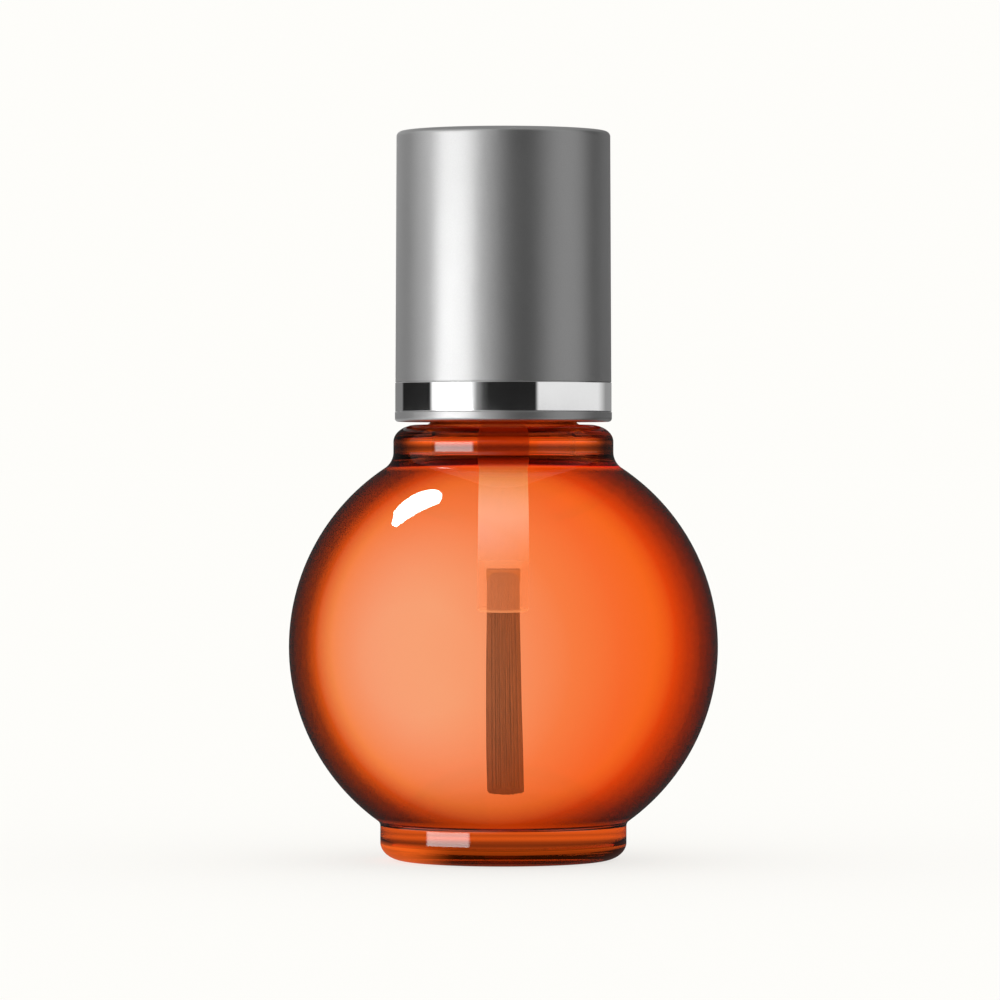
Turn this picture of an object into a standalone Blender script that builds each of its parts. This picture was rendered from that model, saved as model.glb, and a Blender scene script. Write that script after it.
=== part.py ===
"""Cuticle oil bottle: a ball of thick glass with a screw cap that carries a brush.

Units are metres and +Z is up. The axis of the bottle, the cap and the brush is the Z axis, and
the bottle stands on the plane z = 0. Run it in Blender 4.5 to build the model.
"""

import math

import bmesh
import bpy
from mathutils import Matrix

# Ball and foot of the glass
BALL_RADIUS = 0.0170
GLASS_WALL = 0.0030
BALL_SINK = 0.0001
CAVITY_RAISE = 0.0003
FOOT_RADIUS = 0.00976
FOOT_DRAFT = 0.00006
FOOT_FILLET = 0.0005
HEEL_WIDTH = 0.0019
HEEL_HEIGHT = 0.0014
REST_WIDTH = 0.0026
RECESS_DEPTH = 0.0007

# Shoulder collar of the glass, a little wider than the cap
COLLAR_PROUD = 0.00015
COLLAR_FILLET = 0.0015
COLLAR_WALL_HEIGHT = 0.00082
SHOULDER_ROUND_WIDTH = 0.0019
SHOULDER_ROUND_HEIGHT = 0.00135

# Neck, the 13 mm finish of small cosmetic bottles
NECK_RADIUS = 0.00575
NECK_WALL = 0.00205
NECK_HEIGHT = 0.0112
NECK_ROOT_FILLET = 0.0004
BORE_FILLET = 0.0025
RIM_ROUND = 0.0004

# Thread, right-handed, twelve turns to the inch
THREAD_PITCH = 0.002117
THREAD_TURNS = 2.0
THREAD_DEPTH = 0.0007
THREAD_ROOT_WIDTH = 0.0011
THREAD_CREST_WIDTH = 0.00045
THREAD_TOP_DROP = 0.0016
THREAD_RUN_OUT_TURNS = 0.1
THREAD_SINK = 0.0003
THREAD_SIDE_GAP = 0.00025
THREAD_FLANK_GAP = 0.0003
CAP_THREAD_LAG_TURNS = 0.25

# Oil
OIL_GAP = 0.0003
OIL_LEVEL_OVER_SHOULDER = 0.0020

# Moulded insert of the cap
INSERT_WALL = 0.00092
INSERT_UPPER_WALL = 0.0008
INSERT_SHELL_GAP = 0.00025
INSERT_RIB_GAP = 0.00011
INSERT_RIB_SPACING = 3
INSERT_MOUTH_LIFT = 0.0004
INSERT_MOUTH_CHAMFER = 0.0004
WEB_THICKNESS = 0.0012
SOCKET_WALL = 0.00125
SOCKET_HEIGHT = 0.0024
SEAT_GAP = 0.00018

# Metal shell of the cap and its polished band
CAP_OVER_SHOULDER = 0.00023
CAP_HEIGHT = 0.0230
SHELL_DRAFT = 0.00010
SHELL_TOP_WALL = 0.0006
SHELL_TOP_ROUND = 0.00042
LIP_HEIGHT = 0.00072
LIP_PROUD = 0.00003
LIP_ROUND = 0.00028
BAND_HEIGHT = 0.0023
BAND_THICKNESS = 0.00025
BAND_GAP = 0.00008
BAND_SPLIT = 0.0004
BAND_EDGE_ROUND = 0.00005
GROOVE_FLOOR_WALL = 0.00027

# Foam ring on the rim
LINER_THICKNESS = 0.0010
LINER_EDGE_GAP = 0.0003

# Dip stem
STEM_WALL = 0.000375
STEM_END_ROUND = 0.00012
STEM_FLANGE_BORE_GAP = 0.0004
STEM_FLANGE_THICKNESS = 0.0008
STEM_SPIGOT_RADIUS = 0.0015
STEM_SOCKET_GAP = 0.00025
STEM_BARB_OVERHANG = 0.0004
STEM_BARB_HEIGHT = 0.0012
STEM_BARB_NARROWING = 0.00095

# Brush and the metal anchor that holds it
BRUSH_LENGTH = 0.0099
BRUSH_TIP_CLEARANCE = 0.0057
TUFT_RADIUS = 0.000925
TUFT_SPREAD = 0.00015
TUFT_GAP = 0.0001
TUFT_DEPTH = 0.00215
TUFT_FOLD_HEIGHT = 0.0006
TUFT_START_DEPTH = 0.00015
STRAND_SPACE = 0.000024
STAPLE_THICKNESS = 0.0003
STAPLE_HEIGHT = 0.0007
STAPLE_GAP = 0.0001
STAPLE_ROUND = 0.00005
STEM_BORE_END_GAP = 0.0004

# Counts of facets and strands
TURN_STEPS = 48
STEM_STEPS = 24
OIL_STEPS = 36
TUFT_RINGS = 8
TUFT_SECTORS = 6

# Distance under which two points are one, and the angle of a sharp edge in degrees
WELD = 0.000001
SHARP_ANGLE = 32.0

# Radii that follow, from the neck out to the shell and from the tuft out to the stem
NECK_BORE_RADIUS = NECK_RADIUS - NECK_WALL
INSERT_BORE_RADIUS = NECK_RADIUS + THREAD_DEPTH + THREAD_SIDE_GAP
INSERT_RADIUS = INSERT_BORE_RADIUS + INSERT_WALL
SHELL_WALL = GROOVE_FLOOR_WALL + BAND_GAP + BAND_THICKNESS
SHELL_RADIUS = INSERT_RADIUS + INSERT_SHELL_GAP + SHELL_WALL + SHELL_DRAFT
GROOVE_RADIUS = SHELL_RADIUS - BAND_THICKNESS - BAND_GAP
COLLAR_RADIUS = SHELL_RADIUS + COLLAR_PROUD
RECESS_RADIUS = FOOT_RADIUS - HEEL_WIDTH - REST_WIDTH
STEM_BORE_RADIUS = TUFT_RADIUS + TUFT_GAP
STEM_RADIUS = STEM_BORE_RADIUS + STEM_WALL
STEM_FLANGE_RADIUS = NECK_BORE_RADIUS - STEM_FLANGE_BORE_GAP
LINER_HOLE_RADIUS = STEM_FLANGE_RADIUS + LINER_EDGE_GAP
LINER_RADIUS = INSERT_BORE_RADIUS - LINER_EDGE_GAP
SOCKET_BORE_RADIUS = STEM_SPIGOT_RADIUS + STEM_SOCKET_GAP
SOCKET_RADIUS = SOCKET_BORE_RADIUS + SOCKET_WALL
TUFT_TIP_RADIUS = TUFT_RADIUS + TUFT_SPREAD

# Heights of the ball and its cavity
BALL_HEIGHT = BALL_RADIUS - BALL_SINK
CAVITY_RADIUS = BALL_RADIUS - GLASS_WALL
CAVITY_HEIGHT = BALL_HEIGHT + CAVITY_RAISE
CAVITY_FLOOR = CAVITY_HEIGHT - CAVITY_RADIUS


def fillet_height(wall_radius, ball_radius, fillet):
    """Height over the ball's centre of the centre of a fillet between a ball and an upright wall."""
    return math.sqrt((ball_radius + fillet) ** 2 - (wall_radius + fillet) ** 2)


# Heights of the shoulder, the neck and the cap, stacked up from the ball
COLLAR_BOTTOM = BALL_HEIGHT + fillet_height(COLLAR_RADIUS, BALL_RADIUS, COLLAR_FILLET)
SHOULDER = COLLAR_BOTTOM + COLLAR_WALL_HEIGHT + SHOULDER_ROUND_HEIGHT
OIL_LEVEL = SHOULDER + OIL_LEVEL_OVER_SHOULDER
RIM = SHOULDER + NECK_HEIGHT
NECK_THREAD_BOTTOM = RIM - THREAD_TOP_DROP - THREAD_PITCH * THREAD_TURNS
LINER_BOTTOM = RIM + SEAT_GAP
LINER_TOP = LINER_BOTTOM + LINER_THICKNESS
WEB_BOTTOM = LINER_TOP + SEAT_GAP
WEB_TOP = WEB_BOTTOM + WEB_THICKNESS
SOCKET_TOP = WEB_TOP + SOCKET_HEIGHT
CAP_BOTTOM = SHOULDER + CAP_OVER_SHOULDER
CAP_TOP = CAP_BOTTOM + CAP_HEIGHT
GROOVE_BOTTOM = CAP_BOTTOM + LIP_HEIGHT
GROOVE_TOP = GROOVE_BOTTOM + BAND_HEIGHT + 2 * BAND_GAP
INSERT_BOTTOM = CAP_BOTTOM + INSERT_MOUTH_LIFT
INSERT_TOP = CAP_TOP - SHELL_TOP_WALL - INSERT_SHELL_GAP

# Heights of the brush, stacked up from the floor of the cavity
BRUSH_TIP = CAVITY_FLOOR + BRUSH_TIP_CLEARANCE
STEM_END = BRUSH_TIP + BRUSH_LENGTH
TUFT_START = STEM_END + TUFT_START_DEPTH
TUFT_TOP = STEM_END + TUFT_DEPTH
TUFT_SHOULDER = TUFT_TOP - TUFT_FOLD_HEIGHT
STAPLE_BOTTOM = TUFT_SHOULDER + STAPLE_GAP
STAPLE_TOP = STAPLE_BOTTOM + STAPLE_HEIGHT
STEM_BORE_END = max(TUFT_TOP, STAPLE_TOP) + STEM_BORE_END_GAP


def clear_scene():
    for item in list(bpy.data.objects):
        bpy.data.objects.remove(item)


def finish(name, colour, roughness, metallic=0.0, transmission=0.0, index=1.45):
    """A Principled material with one colour."""
    material = bpy.data.materials.new(name)
    material.use_nodes = True
    material.diffuse_color = (*colour, 1.0)
    shader = material.node_tree.nodes["Principled BSDF"]
    shader.inputs["Base Color"].default_value = (*colour, 1.0)
    shader.inputs["Roughness"].default_value = roughness
    shader.inputs["Metallic"].default_value = metallic
    shader.inputs["Transmission Weight"].default_value = transmission
    shader.inputs["IOR"].default_value = index
    return material


def arc(centre, width, height, start, end, steps):
    """Points on an ellipse in the plane of radius and height, from one angle to another in degrees."""
    points = []
    for step in range(steps + 1):
        angle = math.radians(start + (end - start) * step / steps)
        points.append((centre[0] + width * math.cos(angle), centre[1] + height * math.sin(angle)))
    return points


def ball_angle(wall_radius, ball_radius, fillet):
    """Angle over the horizontal, in degrees, at which a fillet to an upright wall leaves the ball."""
    rise = fillet_height(wall_radius, ball_radius, fillet)
    return math.degrees(math.atan2(rise, wall_radius + fillet))


def make_object(name, mesh_data, material):
    """An object on the Z axis from a finished bmesh, shaded smooth up to its sharp edges."""
    mesh = bpy.data.meshes.new(name)
    mesh_data.to_mesh(mesh)
    mesh_data.free()
    mesh.shade_smooth()
    mesh.set_sharp_from_angle(angle=math.radians(SHARP_ANGLE))
    item = bpy.data.objects.new(name, mesh)
    bpy.context.scene.collection.objects.link(item)
    if material is not None:
        mesh.materials.append(material)
    return item


def spin_outline(outline, closed, steps, turn=2 * math.pi, start=0.0):
    """A bmesh turned about the Z axis from an outline of (radius, height) points."""
    turned = bmesh.new()
    corners = [turned.verts.new((radius, 0, height)) for radius, height in outline]
    edges = [turned.edges.new(pair) for pair in zip(corners, corners[1:])]
    if closed:
        edges.append(turned.edges.new((corners[-1], corners[0])))
    bmesh.ops.rotate(turned, cent=(0, 0, 0), matrix=Matrix.Rotation(start, 3, "Z"), verts=corners)
    full = math.isclose(turn, 2 * math.pi)
    bmesh.ops.spin(
        turned,
        geom=corners + edges,
        cent=(0, 0, 0),
        axis=(0, 0, 1),
        dvec=(0, 0, 0),
        angle=turn,
        steps=steps,
        use_merge=full,
        use_duplicate=False,
    )
    bmesh.ops.remove_doubles(turned, verts=turned.verts, dist=WELD)
    if not full:
        ends = [edge for edge in turned.edges if edge.is_boundary]
        bmesh.ops.holes_fill(turned, edges=ends, sides=0)
    bmesh.ops.recalc_face_normals(turned, faces=turned.faces)
    return turned


def ridge_width(height):
    """Width of a thread's ridge at a height over its wall."""
    narrowing = (THREAD_ROOT_WIDTH - THREAD_CREST_WIDTH) / THREAD_DEPTH
    return THREAD_ROOT_WIDTH - narrowing * height


def thread_ridge(name, wall_radius, outward, bottom, start_turn):
    """A helical ridge of two turns that thins out into its wall at both ends.

    outward is 1 for a ridge on the outside of a wall and -1 for one in a bore. bottom is the
    height of the ridge's middle at its first end, which lies start_turn of a turn round from +X.
    """
    steps = round(THREAD_TURNS * TURN_STEPS)
    ridge = bmesh.new()
    rings = []
    for step in range(steps + 1):
        turn = step / TURN_STEPS
        share = min(1, turn / THREAD_RUN_OUT_TURNS, (THREAD_TURNS - turn) / THREAD_RUN_OUT_TURNS)
        crest = (THREAD_DEPTH + THREAD_SINK / 2) * share - THREAD_SINK / 2
        angle = 2 * math.pi * (start_turn + turn)
        middle = bottom + THREAD_PITCH * turn
        corners = []
        for height, side in ((-THREAD_SINK, -1), (crest, -1), (crest, 1), (-THREAD_SINK, 1)):
            radius = wall_radius + outward * height
            half_width = ridge_width(height) / 2
            place = (radius * math.cos(angle), radius * math.sin(angle), middle + side * half_width)
            corners.append(ridge.verts.new(place))
        rings.append(corners)
    for lower, upper in zip(rings, rings[1:]):
        for side in range(4):
            after = (side + 1) % 4
            ridge.faces.new((lower[side], lower[after], upper[after], upper[side]))
    ridge.faces.new(rings[0])
    ridge.faces.new(reversed(rings[-1]))
    bmesh.ops.recalc_face_normals(ridge, faces=ridge.faces)
    guide = make_object(name, ridge, None)
    guide.hide_render = True
    guide.display_type = "WIRE"
    return guide


def unite(item, guide):
    """Adds a guide's solid to an object with a live Boolean."""
    join = item.modifiers.new("thread", "BOOLEAN")
    join.operation = "UNION"
    join.solver = "EXACT"
    join.object = guide


def make_bottle(material):
    """Foot, ball, collar and neck, with the cavity, as one turned wall and the ridge on its neck."""
    foot_wall = FOOT_RADIUS - FOOT_DRAFT
    foot_angle = ball_angle(foot_wall, BALL_RADIUS, FOOT_FILLET)
    foot_fillet_drop = fillet_height(foot_wall, BALL_RADIUS, FOOT_FILLET)
    collar_angle = ball_angle(COLLAR_RADIUS, BALL_RADIUS, COLLAR_FILLET)
    bore_angle = ball_angle(NECK_BORE_RADIUS, CAVITY_RADIUS, BORE_FILLET)
    bore_fillet_rise = fillet_height(NECK_BORE_RADIUS, CAVITY_RADIUS, BORE_FILLET)
    heel = (FOOT_RADIUS - HEEL_WIDTH, HEEL_HEIGHT)
    foot = (foot_wall + FOOT_FILLET, BALL_HEIGHT - foot_fillet_drop)
    collar = (COLLAR_RADIUS + COLLAR_FILLET, COLLAR_BOTTOM)
    shoulder = (COLLAR_RADIUS - SHOULDER_ROUND_WIDTH, SHOULDER - SHOULDER_ROUND_HEIGHT)
    root = (NECK_RADIUS + NECK_ROOT_FILLET, SHOULDER + NECK_ROOT_FILLET)
    outer_rim = (NECK_RADIUS - RIM_ROUND, RIM - RIM_ROUND)
    inner_rim = (NECK_BORE_RADIUS + RIM_ROUND, RIM - RIM_ROUND)
    bore = (NECK_BORE_RADIUS + BORE_FILLET, CAVITY_HEIGHT + bore_fillet_rise)
    outline = [
        *arc((0, 0), RECESS_RADIUS, RECESS_DEPTH, 90, 0, 4),
        *arc(heel, HEEL_WIDTH, HEEL_HEIGHT, -90, 0, 4),
        *arc(foot, FOOT_FILLET, FOOT_FILLET, 180, 180 - foot_angle, 2),
        *arc((0, BALL_HEIGHT), BALL_RADIUS, BALL_RADIUS, -foot_angle, 0, 8)[1:],
        *arc((0, BALL_HEIGHT), BALL_RADIUS, BALL_RADIUS, 0, collar_angle, 8)[1:],
        *arc(collar, COLLAR_FILLET, COLLAR_FILLET, 180 + collar_angle, 180, 3)[1:],
        *arc(shoulder, SHOULDER_ROUND_WIDTH, SHOULDER_ROUND_HEIGHT, 0, 90, 4),
        *arc(root, NECK_ROOT_FILLET, NECK_ROOT_FILLET, -90, -180, 2),
        *arc(outer_rim, RIM_ROUND, RIM_ROUND, 0, 90, 2),
        *arc(inner_rim, RIM_ROUND, RIM_ROUND, 90, 180, 2),
        *arc(bore, BORE_FILLET, BORE_FILLET, 180, 180 + bore_angle, 3),
        *arc((0, CAVITY_HEIGHT), CAVITY_RADIUS, CAVITY_RADIUS, bore_angle, -90, 12)[1:],
    ]
    bottle = make_object("glass_bottle", spin_outline(outline, False, TURN_STEPS), material)
    unite(bottle, thread_ridge("neck_thread_guide", NECK_RADIUS, 1, NECK_THREAD_BOTTOM, 0))
    return bottle


def make_oil(material):
    """The filling, clear of the glass, with a straight well for the stem and the brush."""
    ball = CAVITY_RADIUS - OIL_GAP
    bore = NECK_BORE_RADIUS - OIL_GAP
    fillet = BORE_FILLET + OIL_GAP
    angle = ball_angle(bore, ball, fillet)
    centre = CAVITY_HEIGHT + fillet_height(bore, ball, fillet)
    well = max(STEM_RADIUS, TUFT_TIP_RADIUS) + OIL_GAP
    outline = [
        (0, BRUSH_TIP - OIL_GAP),
        (well, BRUSH_TIP - OIL_GAP),
        (well, OIL_LEVEL),
        (bore, OIL_LEVEL),
        *arc((bore + fillet, centre), fillet, fillet, 180, 180 + angle, 3),
        *arc((0, CAVITY_HEIGHT), ball, ball, angle, -90, 12)[1:],
    ]
    return make_object("oil", spin_outline(outline, False, OIL_STEPS), material)


def shell_radius(height):
    """Outer radius of the drawn shell, which narrows a little towards the top."""
    return SHELL_RADIUS - SHELL_DRAFT * (height - CAP_BOTTOM) / CAP_HEIGHT


def make_shell(material):
    """Drawn metal cup, open below, with the groove for the band over its lip."""
    inner_bottom = shell_radius(CAP_BOTTOM) - SHELL_WALL
    inner_top = shell_radius(CAP_TOP) - SHELL_WALL
    edge = (shell_radius(CAP_TOP) - SHELL_TOP_ROUND, CAP_TOP - SHELL_TOP_ROUND)
    lip_radius = SHELL_RADIUS + LIP_PROUD
    outline = [
        (0, CAP_TOP),
        *arc(edge, SHELL_TOP_ROUND, SHELL_TOP_ROUND, 90, 0, 4),
        (shell_radius(GROOVE_TOP), GROOVE_TOP),
        (GROOVE_RADIUS, GROOVE_TOP),
        (GROOVE_RADIUS, GROOVE_BOTTOM),
        (lip_radius, GROOVE_BOTTOM),
        *arc((lip_radius - LIP_ROUND, CAP_BOTTOM + LIP_ROUND), LIP_ROUND, LIP_ROUND, 0, -90, 3),
        (inner_bottom, CAP_BOTTOM),
        (inner_top, CAP_TOP - SHELL_TOP_WALL),
        (0, CAP_TOP - SHELL_TOP_WALL),
    ]
    return make_object("outer_shell", spin_outline(outline, False, TURN_STEPS), material)


def make_band(material):
    """Polished ring in the shell's groove, flush with the shell and split at the back."""
    bottom = GROOVE_BOTTOM + BAND_GAP
    top = GROOVE_TOP - BAND_GAP
    inner = GROOVE_RADIUS + BAND_GAP
    outer = inner + BAND_THICKNESS
    outline = [
        (inner, bottom),
        (outer - BAND_EDGE_ROUND, bottom),
        (outer, bottom + BAND_EDGE_ROUND),
        (outer, top - BAND_EDGE_ROUND),
        (outer - BAND_EDGE_ROUND, top),
        (inner, top),
    ]
    split = BAND_SPLIT / outer
    ring = spin_outline(outline, True, TURN_STEPS, 2 * math.pi - split, (math.pi + split) / 2)
    return make_object("trim_band", ring, material)


def make_insert(material):
    """Inner cap: threaded skirt, web over the rim, socket for the stem and skirt up to the top."""
    mouth_radius = INSERT_BORE_RADIUS + INSERT_MOUTH_CHAMFER
    skirt_radius = INSERT_RADIUS - INSERT_UPPER_WALL
    outline = [
        (INSERT_RADIUS, INSERT_BOTTOM),
        (INSERT_RADIUS, INSERT_TOP),
        (skirt_radius, INSERT_TOP),
        (skirt_radius, WEB_TOP),
        (SOCKET_RADIUS, WEB_TOP),
        (SOCKET_RADIUS, SOCKET_TOP),
        (SOCKET_BORE_RADIUS, SOCKET_TOP),
        (SOCKET_BORE_RADIUS, WEB_BOTTOM),
        (INSERT_BORE_RADIUS, WEB_BOTTOM),
        (INSERT_BORE_RADIUS, INSERT_BOTTOM + INSERT_MOUTH_CHAMFER),
        (mouth_radius, INSERT_BOTTOM),
    ]
    turned = spin_outline(outline, True, TURN_STEPS)
    outer_wall = (INSERT_RADIUS + mouth_radius) / 2
    for corner in turned.verts:
        radius = corner.co.xy.length
        column = round(math.atan2(corner.co.y, corner.co.x) * TURN_STEPS / (2 * math.pi))
        if radius > outer_wall and column % INSERT_RIB_SPACING == 0:
            corner.co.xy *= (radius + INSERT_SHELL_GAP - INSERT_RIB_GAP) / radius
    insert = make_object("inner_cap", turned, material)
    middle_of_overlap = (THREAD_DEPTH + THREAD_SIDE_GAP) / 2
    drop = ridge_width(middle_of_overlap) + THREAD_FLANK_GAP
    bottom = NECK_THREAD_BOTTOM - drop - THREAD_PITCH * CAP_THREAD_LAG_TURNS
    unite(insert, thread_ridge("cap_thread_guide", INSERT_BORE_RADIUS, -1, bottom, -CAP_THREAD_LAG_TURNS))
    return insert


def make_liner(material):
    """Flat foam ring between the rim of the glass and the web of the inner cap."""
    outline = [
        (LINER_HOLE_RADIUS, LINER_BOTTOM),
        (LINER_RADIUS, LINER_BOTTOM),
        (LINER_RADIUS, LINER_TOP),
        (LINER_HOLE_RADIUS, LINER_TOP),
    ]
    return make_object("seal_liner", spin_outline(outline, True, TURN_STEPS), material)


def make_stem(material):
    """Stem with a barbed head in the socket, a flange under the web and a blind bore at its end."""
    flange_top = WEB_BOTTOM - SEAT_GAP
    flange_bottom = flange_top - STEM_FLANGE_THICKNESS
    barb_bottom = SOCKET_TOP + SEAT_GAP
    barb_top = barb_bottom + STEM_BARB_HEIGHT
    barb_radius = SOCKET_BORE_RADIUS + STEM_BARB_OVERHANG
    end = (STEM_RADIUS - STEM_END_ROUND, STEM_END + STEM_END_ROUND)
    outline = [
        (0, barb_top),
        (barb_radius - STEM_BARB_NARROWING, barb_top),
        (barb_radius, barb_bottom),
        (STEM_SPIGOT_RADIUS, barb_bottom),
        (STEM_SPIGOT_RADIUS, flange_top),
        (STEM_FLANGE_RADIUS, flange_top),
        (STEM_FLANGE_RADIUS, flange_bottom),
        (STEM_RADIUS, flange_bottom),
        *arc(end, STEM_END_ROUND, STEM_END_ROUND, 0, -90, 2),
        (STEM_BORE_RADIUS, STEM_END),
        (STEM_BORE_RADIUS, STEM_BORE_END),
        (0, STEM_BORE_END),
    ]
    return make_object("brush_stem", spin_outline(outline, False, STEM_STEPS), material)


def tuft_disc():
    """A flat disc of triangles in rings of six, twelve, eighteen and so on, at the tuft's start."""
    disc = bmesh.new()
    rings = [[disc.verts.new((0, 0, TUFT_START))]]
    for ring in range(1, TUFT_RINGS + 1):
        radius = TUFT_RADIUS * ring / TUFT_RINGS
        corners = []
        for step in range(TUFT_SECTORS * ring):
            angle = 2 * math.pi * step / (TUFT_SECTORS * ring)
            corners.append(disc.verts.new((radius * math.cos(angle), radius * math.sin(angle), TUFT_START)))
        rings.append(corners)
    for ring in range(1, TUFT_RINGS + 1):
        outer = rings[ring]
        inner = rings[ring - 1]
        for sector in range(TUFT_SECTORS):
            for step in range(ring):
                here = outer[sector * ring + step]
                after = outer[(sector * ring + step + 1) % len(outer)]
                back = inner[(sector * (ring - 1) + step) % len(inner)]
                disc.faces.new((here, back, after))
                if step:
                    before = inner[sector * (ring - 1) + step - 1]
                    disc.faces.new((here, before, back))
    bmesh.ops.recalc_face_normals(disc, faces=disc.faces)
    return disc


def extruded_corners(solid, faces):
    """Extrudes faces with their edges, so that no face stays inside, and returns the new corners."""
    edges = {edge for face in faces for edge in face.edges}
    raised = bmesh.ops.extrude_face_region(solid, geom=[*faces, *edges])["geom"]
    return [item for item in raised if isinstance(item, bmesh.types.BMVert)]


def make_bristles(material):
    """The tuft: strands of three sides fused to their root, which folds round the anchor."""
    tuft = tuft_disc()
    cells = list(tuft.faces)
    rim = [edge for edge in tuft.edges if edge.is_boundary]
    walls = bmesh.ops.extrude_edge_only(tuft, edges=rim)["geom"]
    top_corners = [item for item in walls if isinstance(item, bmesh.types.BMVert)]
    top_edges = [item for item in walls if isinstance(item, bmesh.types.BMEdge)]
    bmesh.ops.translate(tuft, vec=(0, 0, TUFT_SHOULDER - TUFT_START), verts=top_corners)
    top_rim = [edge for edge in top_edges if edge.is_boundary]
    root_top = bmesh.ops.contextual_create(tuft, geom=top_rim)["faces"]

    half_slot = STAPLE_THICKNESS / 2 + STAPLE_GAP
    for side in (-1, 1):
        touched = set(root_top)
        for face in root_top:
            touched.update(face.edges)
            touched.update(face.verts)
        bmesh.ops.bisect_plane(
            tuft,
            geom=list(touched),
            dist=WELD,
            plane_co=(0, side * half_slot, TUFT_SHOULDER),
            plane_no=(0, 1, 0),
        )
        root_top = [
            face
            for face in tuft.faces
            if all(abs(corner.co.z - TUFT_SHOULDER) < WELD for corner in face.verts)
        ]
    folds = [face for face in root_top if abs(face.calc_center_median().y) > half_slot]
    bmesh.ops.translate(tuft, vec=(0, 0, TUFT_FOLD_HEIGHT), verts=extruded_corners(tuft, folds))

    bmesh.ops.inset_individual(tuft, faces=cells, thickness=STRAND_SPACE / 2, depth=0)
    spread = TUFT_TIP_RADIUS / TUFT_RADIUS
    for tip in extruded_corners(tuft, cells):
        tip.co.xy *= spread
        tip.co.z = BRUSH_TIP
    bmesh.ops.recalc_face_normals(tuft, faces=tuft.faces)
    return make_object("bristles", tuft, material)


def make_staple(material):
    """The flat metal anchor that lies across the fold of the tuft."""
    length = 2 * (STEM_BORE_RADIUS - STAPLE_GAP)
    middle = (STAPLE_BOTTOM + STAPLE_TOP) / 2
    plate = bmesh.new()
    bmesh.ops.create_cube(plate, size=1)
    size = Matrix.Diagonal((length, STAPLE_THICKNESS, STAPLE_HEIGHT, 1))
    bmesh.ops.transform(plate, matrix=Matrix.Translation((0, 0, middle)) @ size, verts=plate.verts)
    bmesh.ops.bevel(
        plate,
        geom=plate.edges,
        offset=STAPLE_ROUND,
        segments=1,
        profile=0.5,
        affect="EDGES",
        material=-1,
    )
    return make_object("bristle_staple", plate, material)


def carry(pieces, name, height):
    """Parents pieces to an empty on the Z axis and leaves them where they are."""
    axis = bpy.data.objects.new(name, None)
    axis.location = (0, 0, height)
    bpy.context.scene.collection.objects.link(axis)
    bpy.context.view_layer.update()
    for piece in pieces:
        piece.parent = axis
        piece.matrix_parent_inverse = axis.matrix_world.inverted()
    return axis


def main():
    clear_scene()
    glass = finish("clear_glass", (0.94, 0.96, 0.95), 0.0, transmission=1.0, index=1.52)
    oil = finish("orange_oil", (1.0, 0.22, 0.03), 0.0, transmission=1.0, index=1.47)
    satin = finish("satin_aluminium", (0.42, 0.42, 0.42), 0.34, metallic=1.0)
    polished = finish("polished_metal", (0.90, 0.90, 0.90), 0.04, metallic=1.0)
    moulded = finish("white_polypropylene", (0.86, 0.86, 0.84), 0.45)
    foam = finish("liner_foam", (0.90, 0.89, 0.86), 0.85)
    clear_plastic = finish("stem_polyethylene", (0.88, 0.86, 0.83), 0.35)
    brass = finish("staple_brass", (0.78, 0.60, 0.28), 0.30, metallic=1.0)
    nylon = finish("brown_nylon", (0.20, 0.13, 0.10), 0.40)

    make_bottle(glass)
    make_oil(oil)
    liner = make_liner(foam)
    cap = [
        make_insert(moulded),
        make_shell(satin),
        make_band(polished),
        make_stem(clear_plastic),
        make_staple(brass),
        make_bristles(nylon),
    ]
    carry([liner], "liner_axis", LINER_BOTTOM)
    carry(cap, "cap_axis", CAP_BOTTOM)


main()
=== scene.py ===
"""Looks of a cuticle oil bottle: thick ball glass, orange oil, a satin metal cap and a brush.

The file is laid out as a Blender add-on and is run as a script. Sizes are in metres, +Z is up and
the axis of the bottle, the cap and the brush is the Z axis, as in the frame that it loads.
"""

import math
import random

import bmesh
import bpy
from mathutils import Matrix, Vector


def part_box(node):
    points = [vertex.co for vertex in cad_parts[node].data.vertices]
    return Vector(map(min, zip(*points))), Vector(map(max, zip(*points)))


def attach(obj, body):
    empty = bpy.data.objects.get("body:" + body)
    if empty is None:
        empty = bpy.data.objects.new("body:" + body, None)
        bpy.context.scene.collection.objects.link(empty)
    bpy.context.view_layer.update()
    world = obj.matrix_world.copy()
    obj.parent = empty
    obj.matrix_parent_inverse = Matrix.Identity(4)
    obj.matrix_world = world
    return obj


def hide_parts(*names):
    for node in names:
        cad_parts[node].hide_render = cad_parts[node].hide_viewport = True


bl_info = {
    "name": "Cuticle oil bottle",
    "version": (1, 0, 0),
    "blender": (4, 5, 0),
    "location": "3D View > Sidebar > Oil bottle",
    "description": "Models the glass, the oil, the cap and the brush of a cuticle oil bottle",
    "category": "Add Mesh",
}

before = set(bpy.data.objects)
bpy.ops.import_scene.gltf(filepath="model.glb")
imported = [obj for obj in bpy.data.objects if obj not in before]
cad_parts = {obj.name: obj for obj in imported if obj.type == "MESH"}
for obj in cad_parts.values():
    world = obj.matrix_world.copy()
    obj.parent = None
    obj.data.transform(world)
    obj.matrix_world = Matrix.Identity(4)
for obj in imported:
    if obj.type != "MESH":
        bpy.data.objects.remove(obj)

FULL_TURN = 2 * math.pi

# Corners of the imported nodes, from which the sizes below start
GLASS_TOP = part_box("glass_bottle")[1]
OIL_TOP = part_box("oil")[1]
SHELL_FOOT, SHELL_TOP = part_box("outer_shell")
BAND_FOOT, BAND_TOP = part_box("trim_band")
INSERT_FOOT, INSERT_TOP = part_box("inner_cap")
LINER_FOOT, LINER_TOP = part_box("seal_liner")
STEM_FOOT, STEM_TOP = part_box("brush_stem")
TUFT_FOOT, TUFT_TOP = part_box("bristles")
STAPLE_FOOT, STAPLE_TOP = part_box("bristle_staple")

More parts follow.
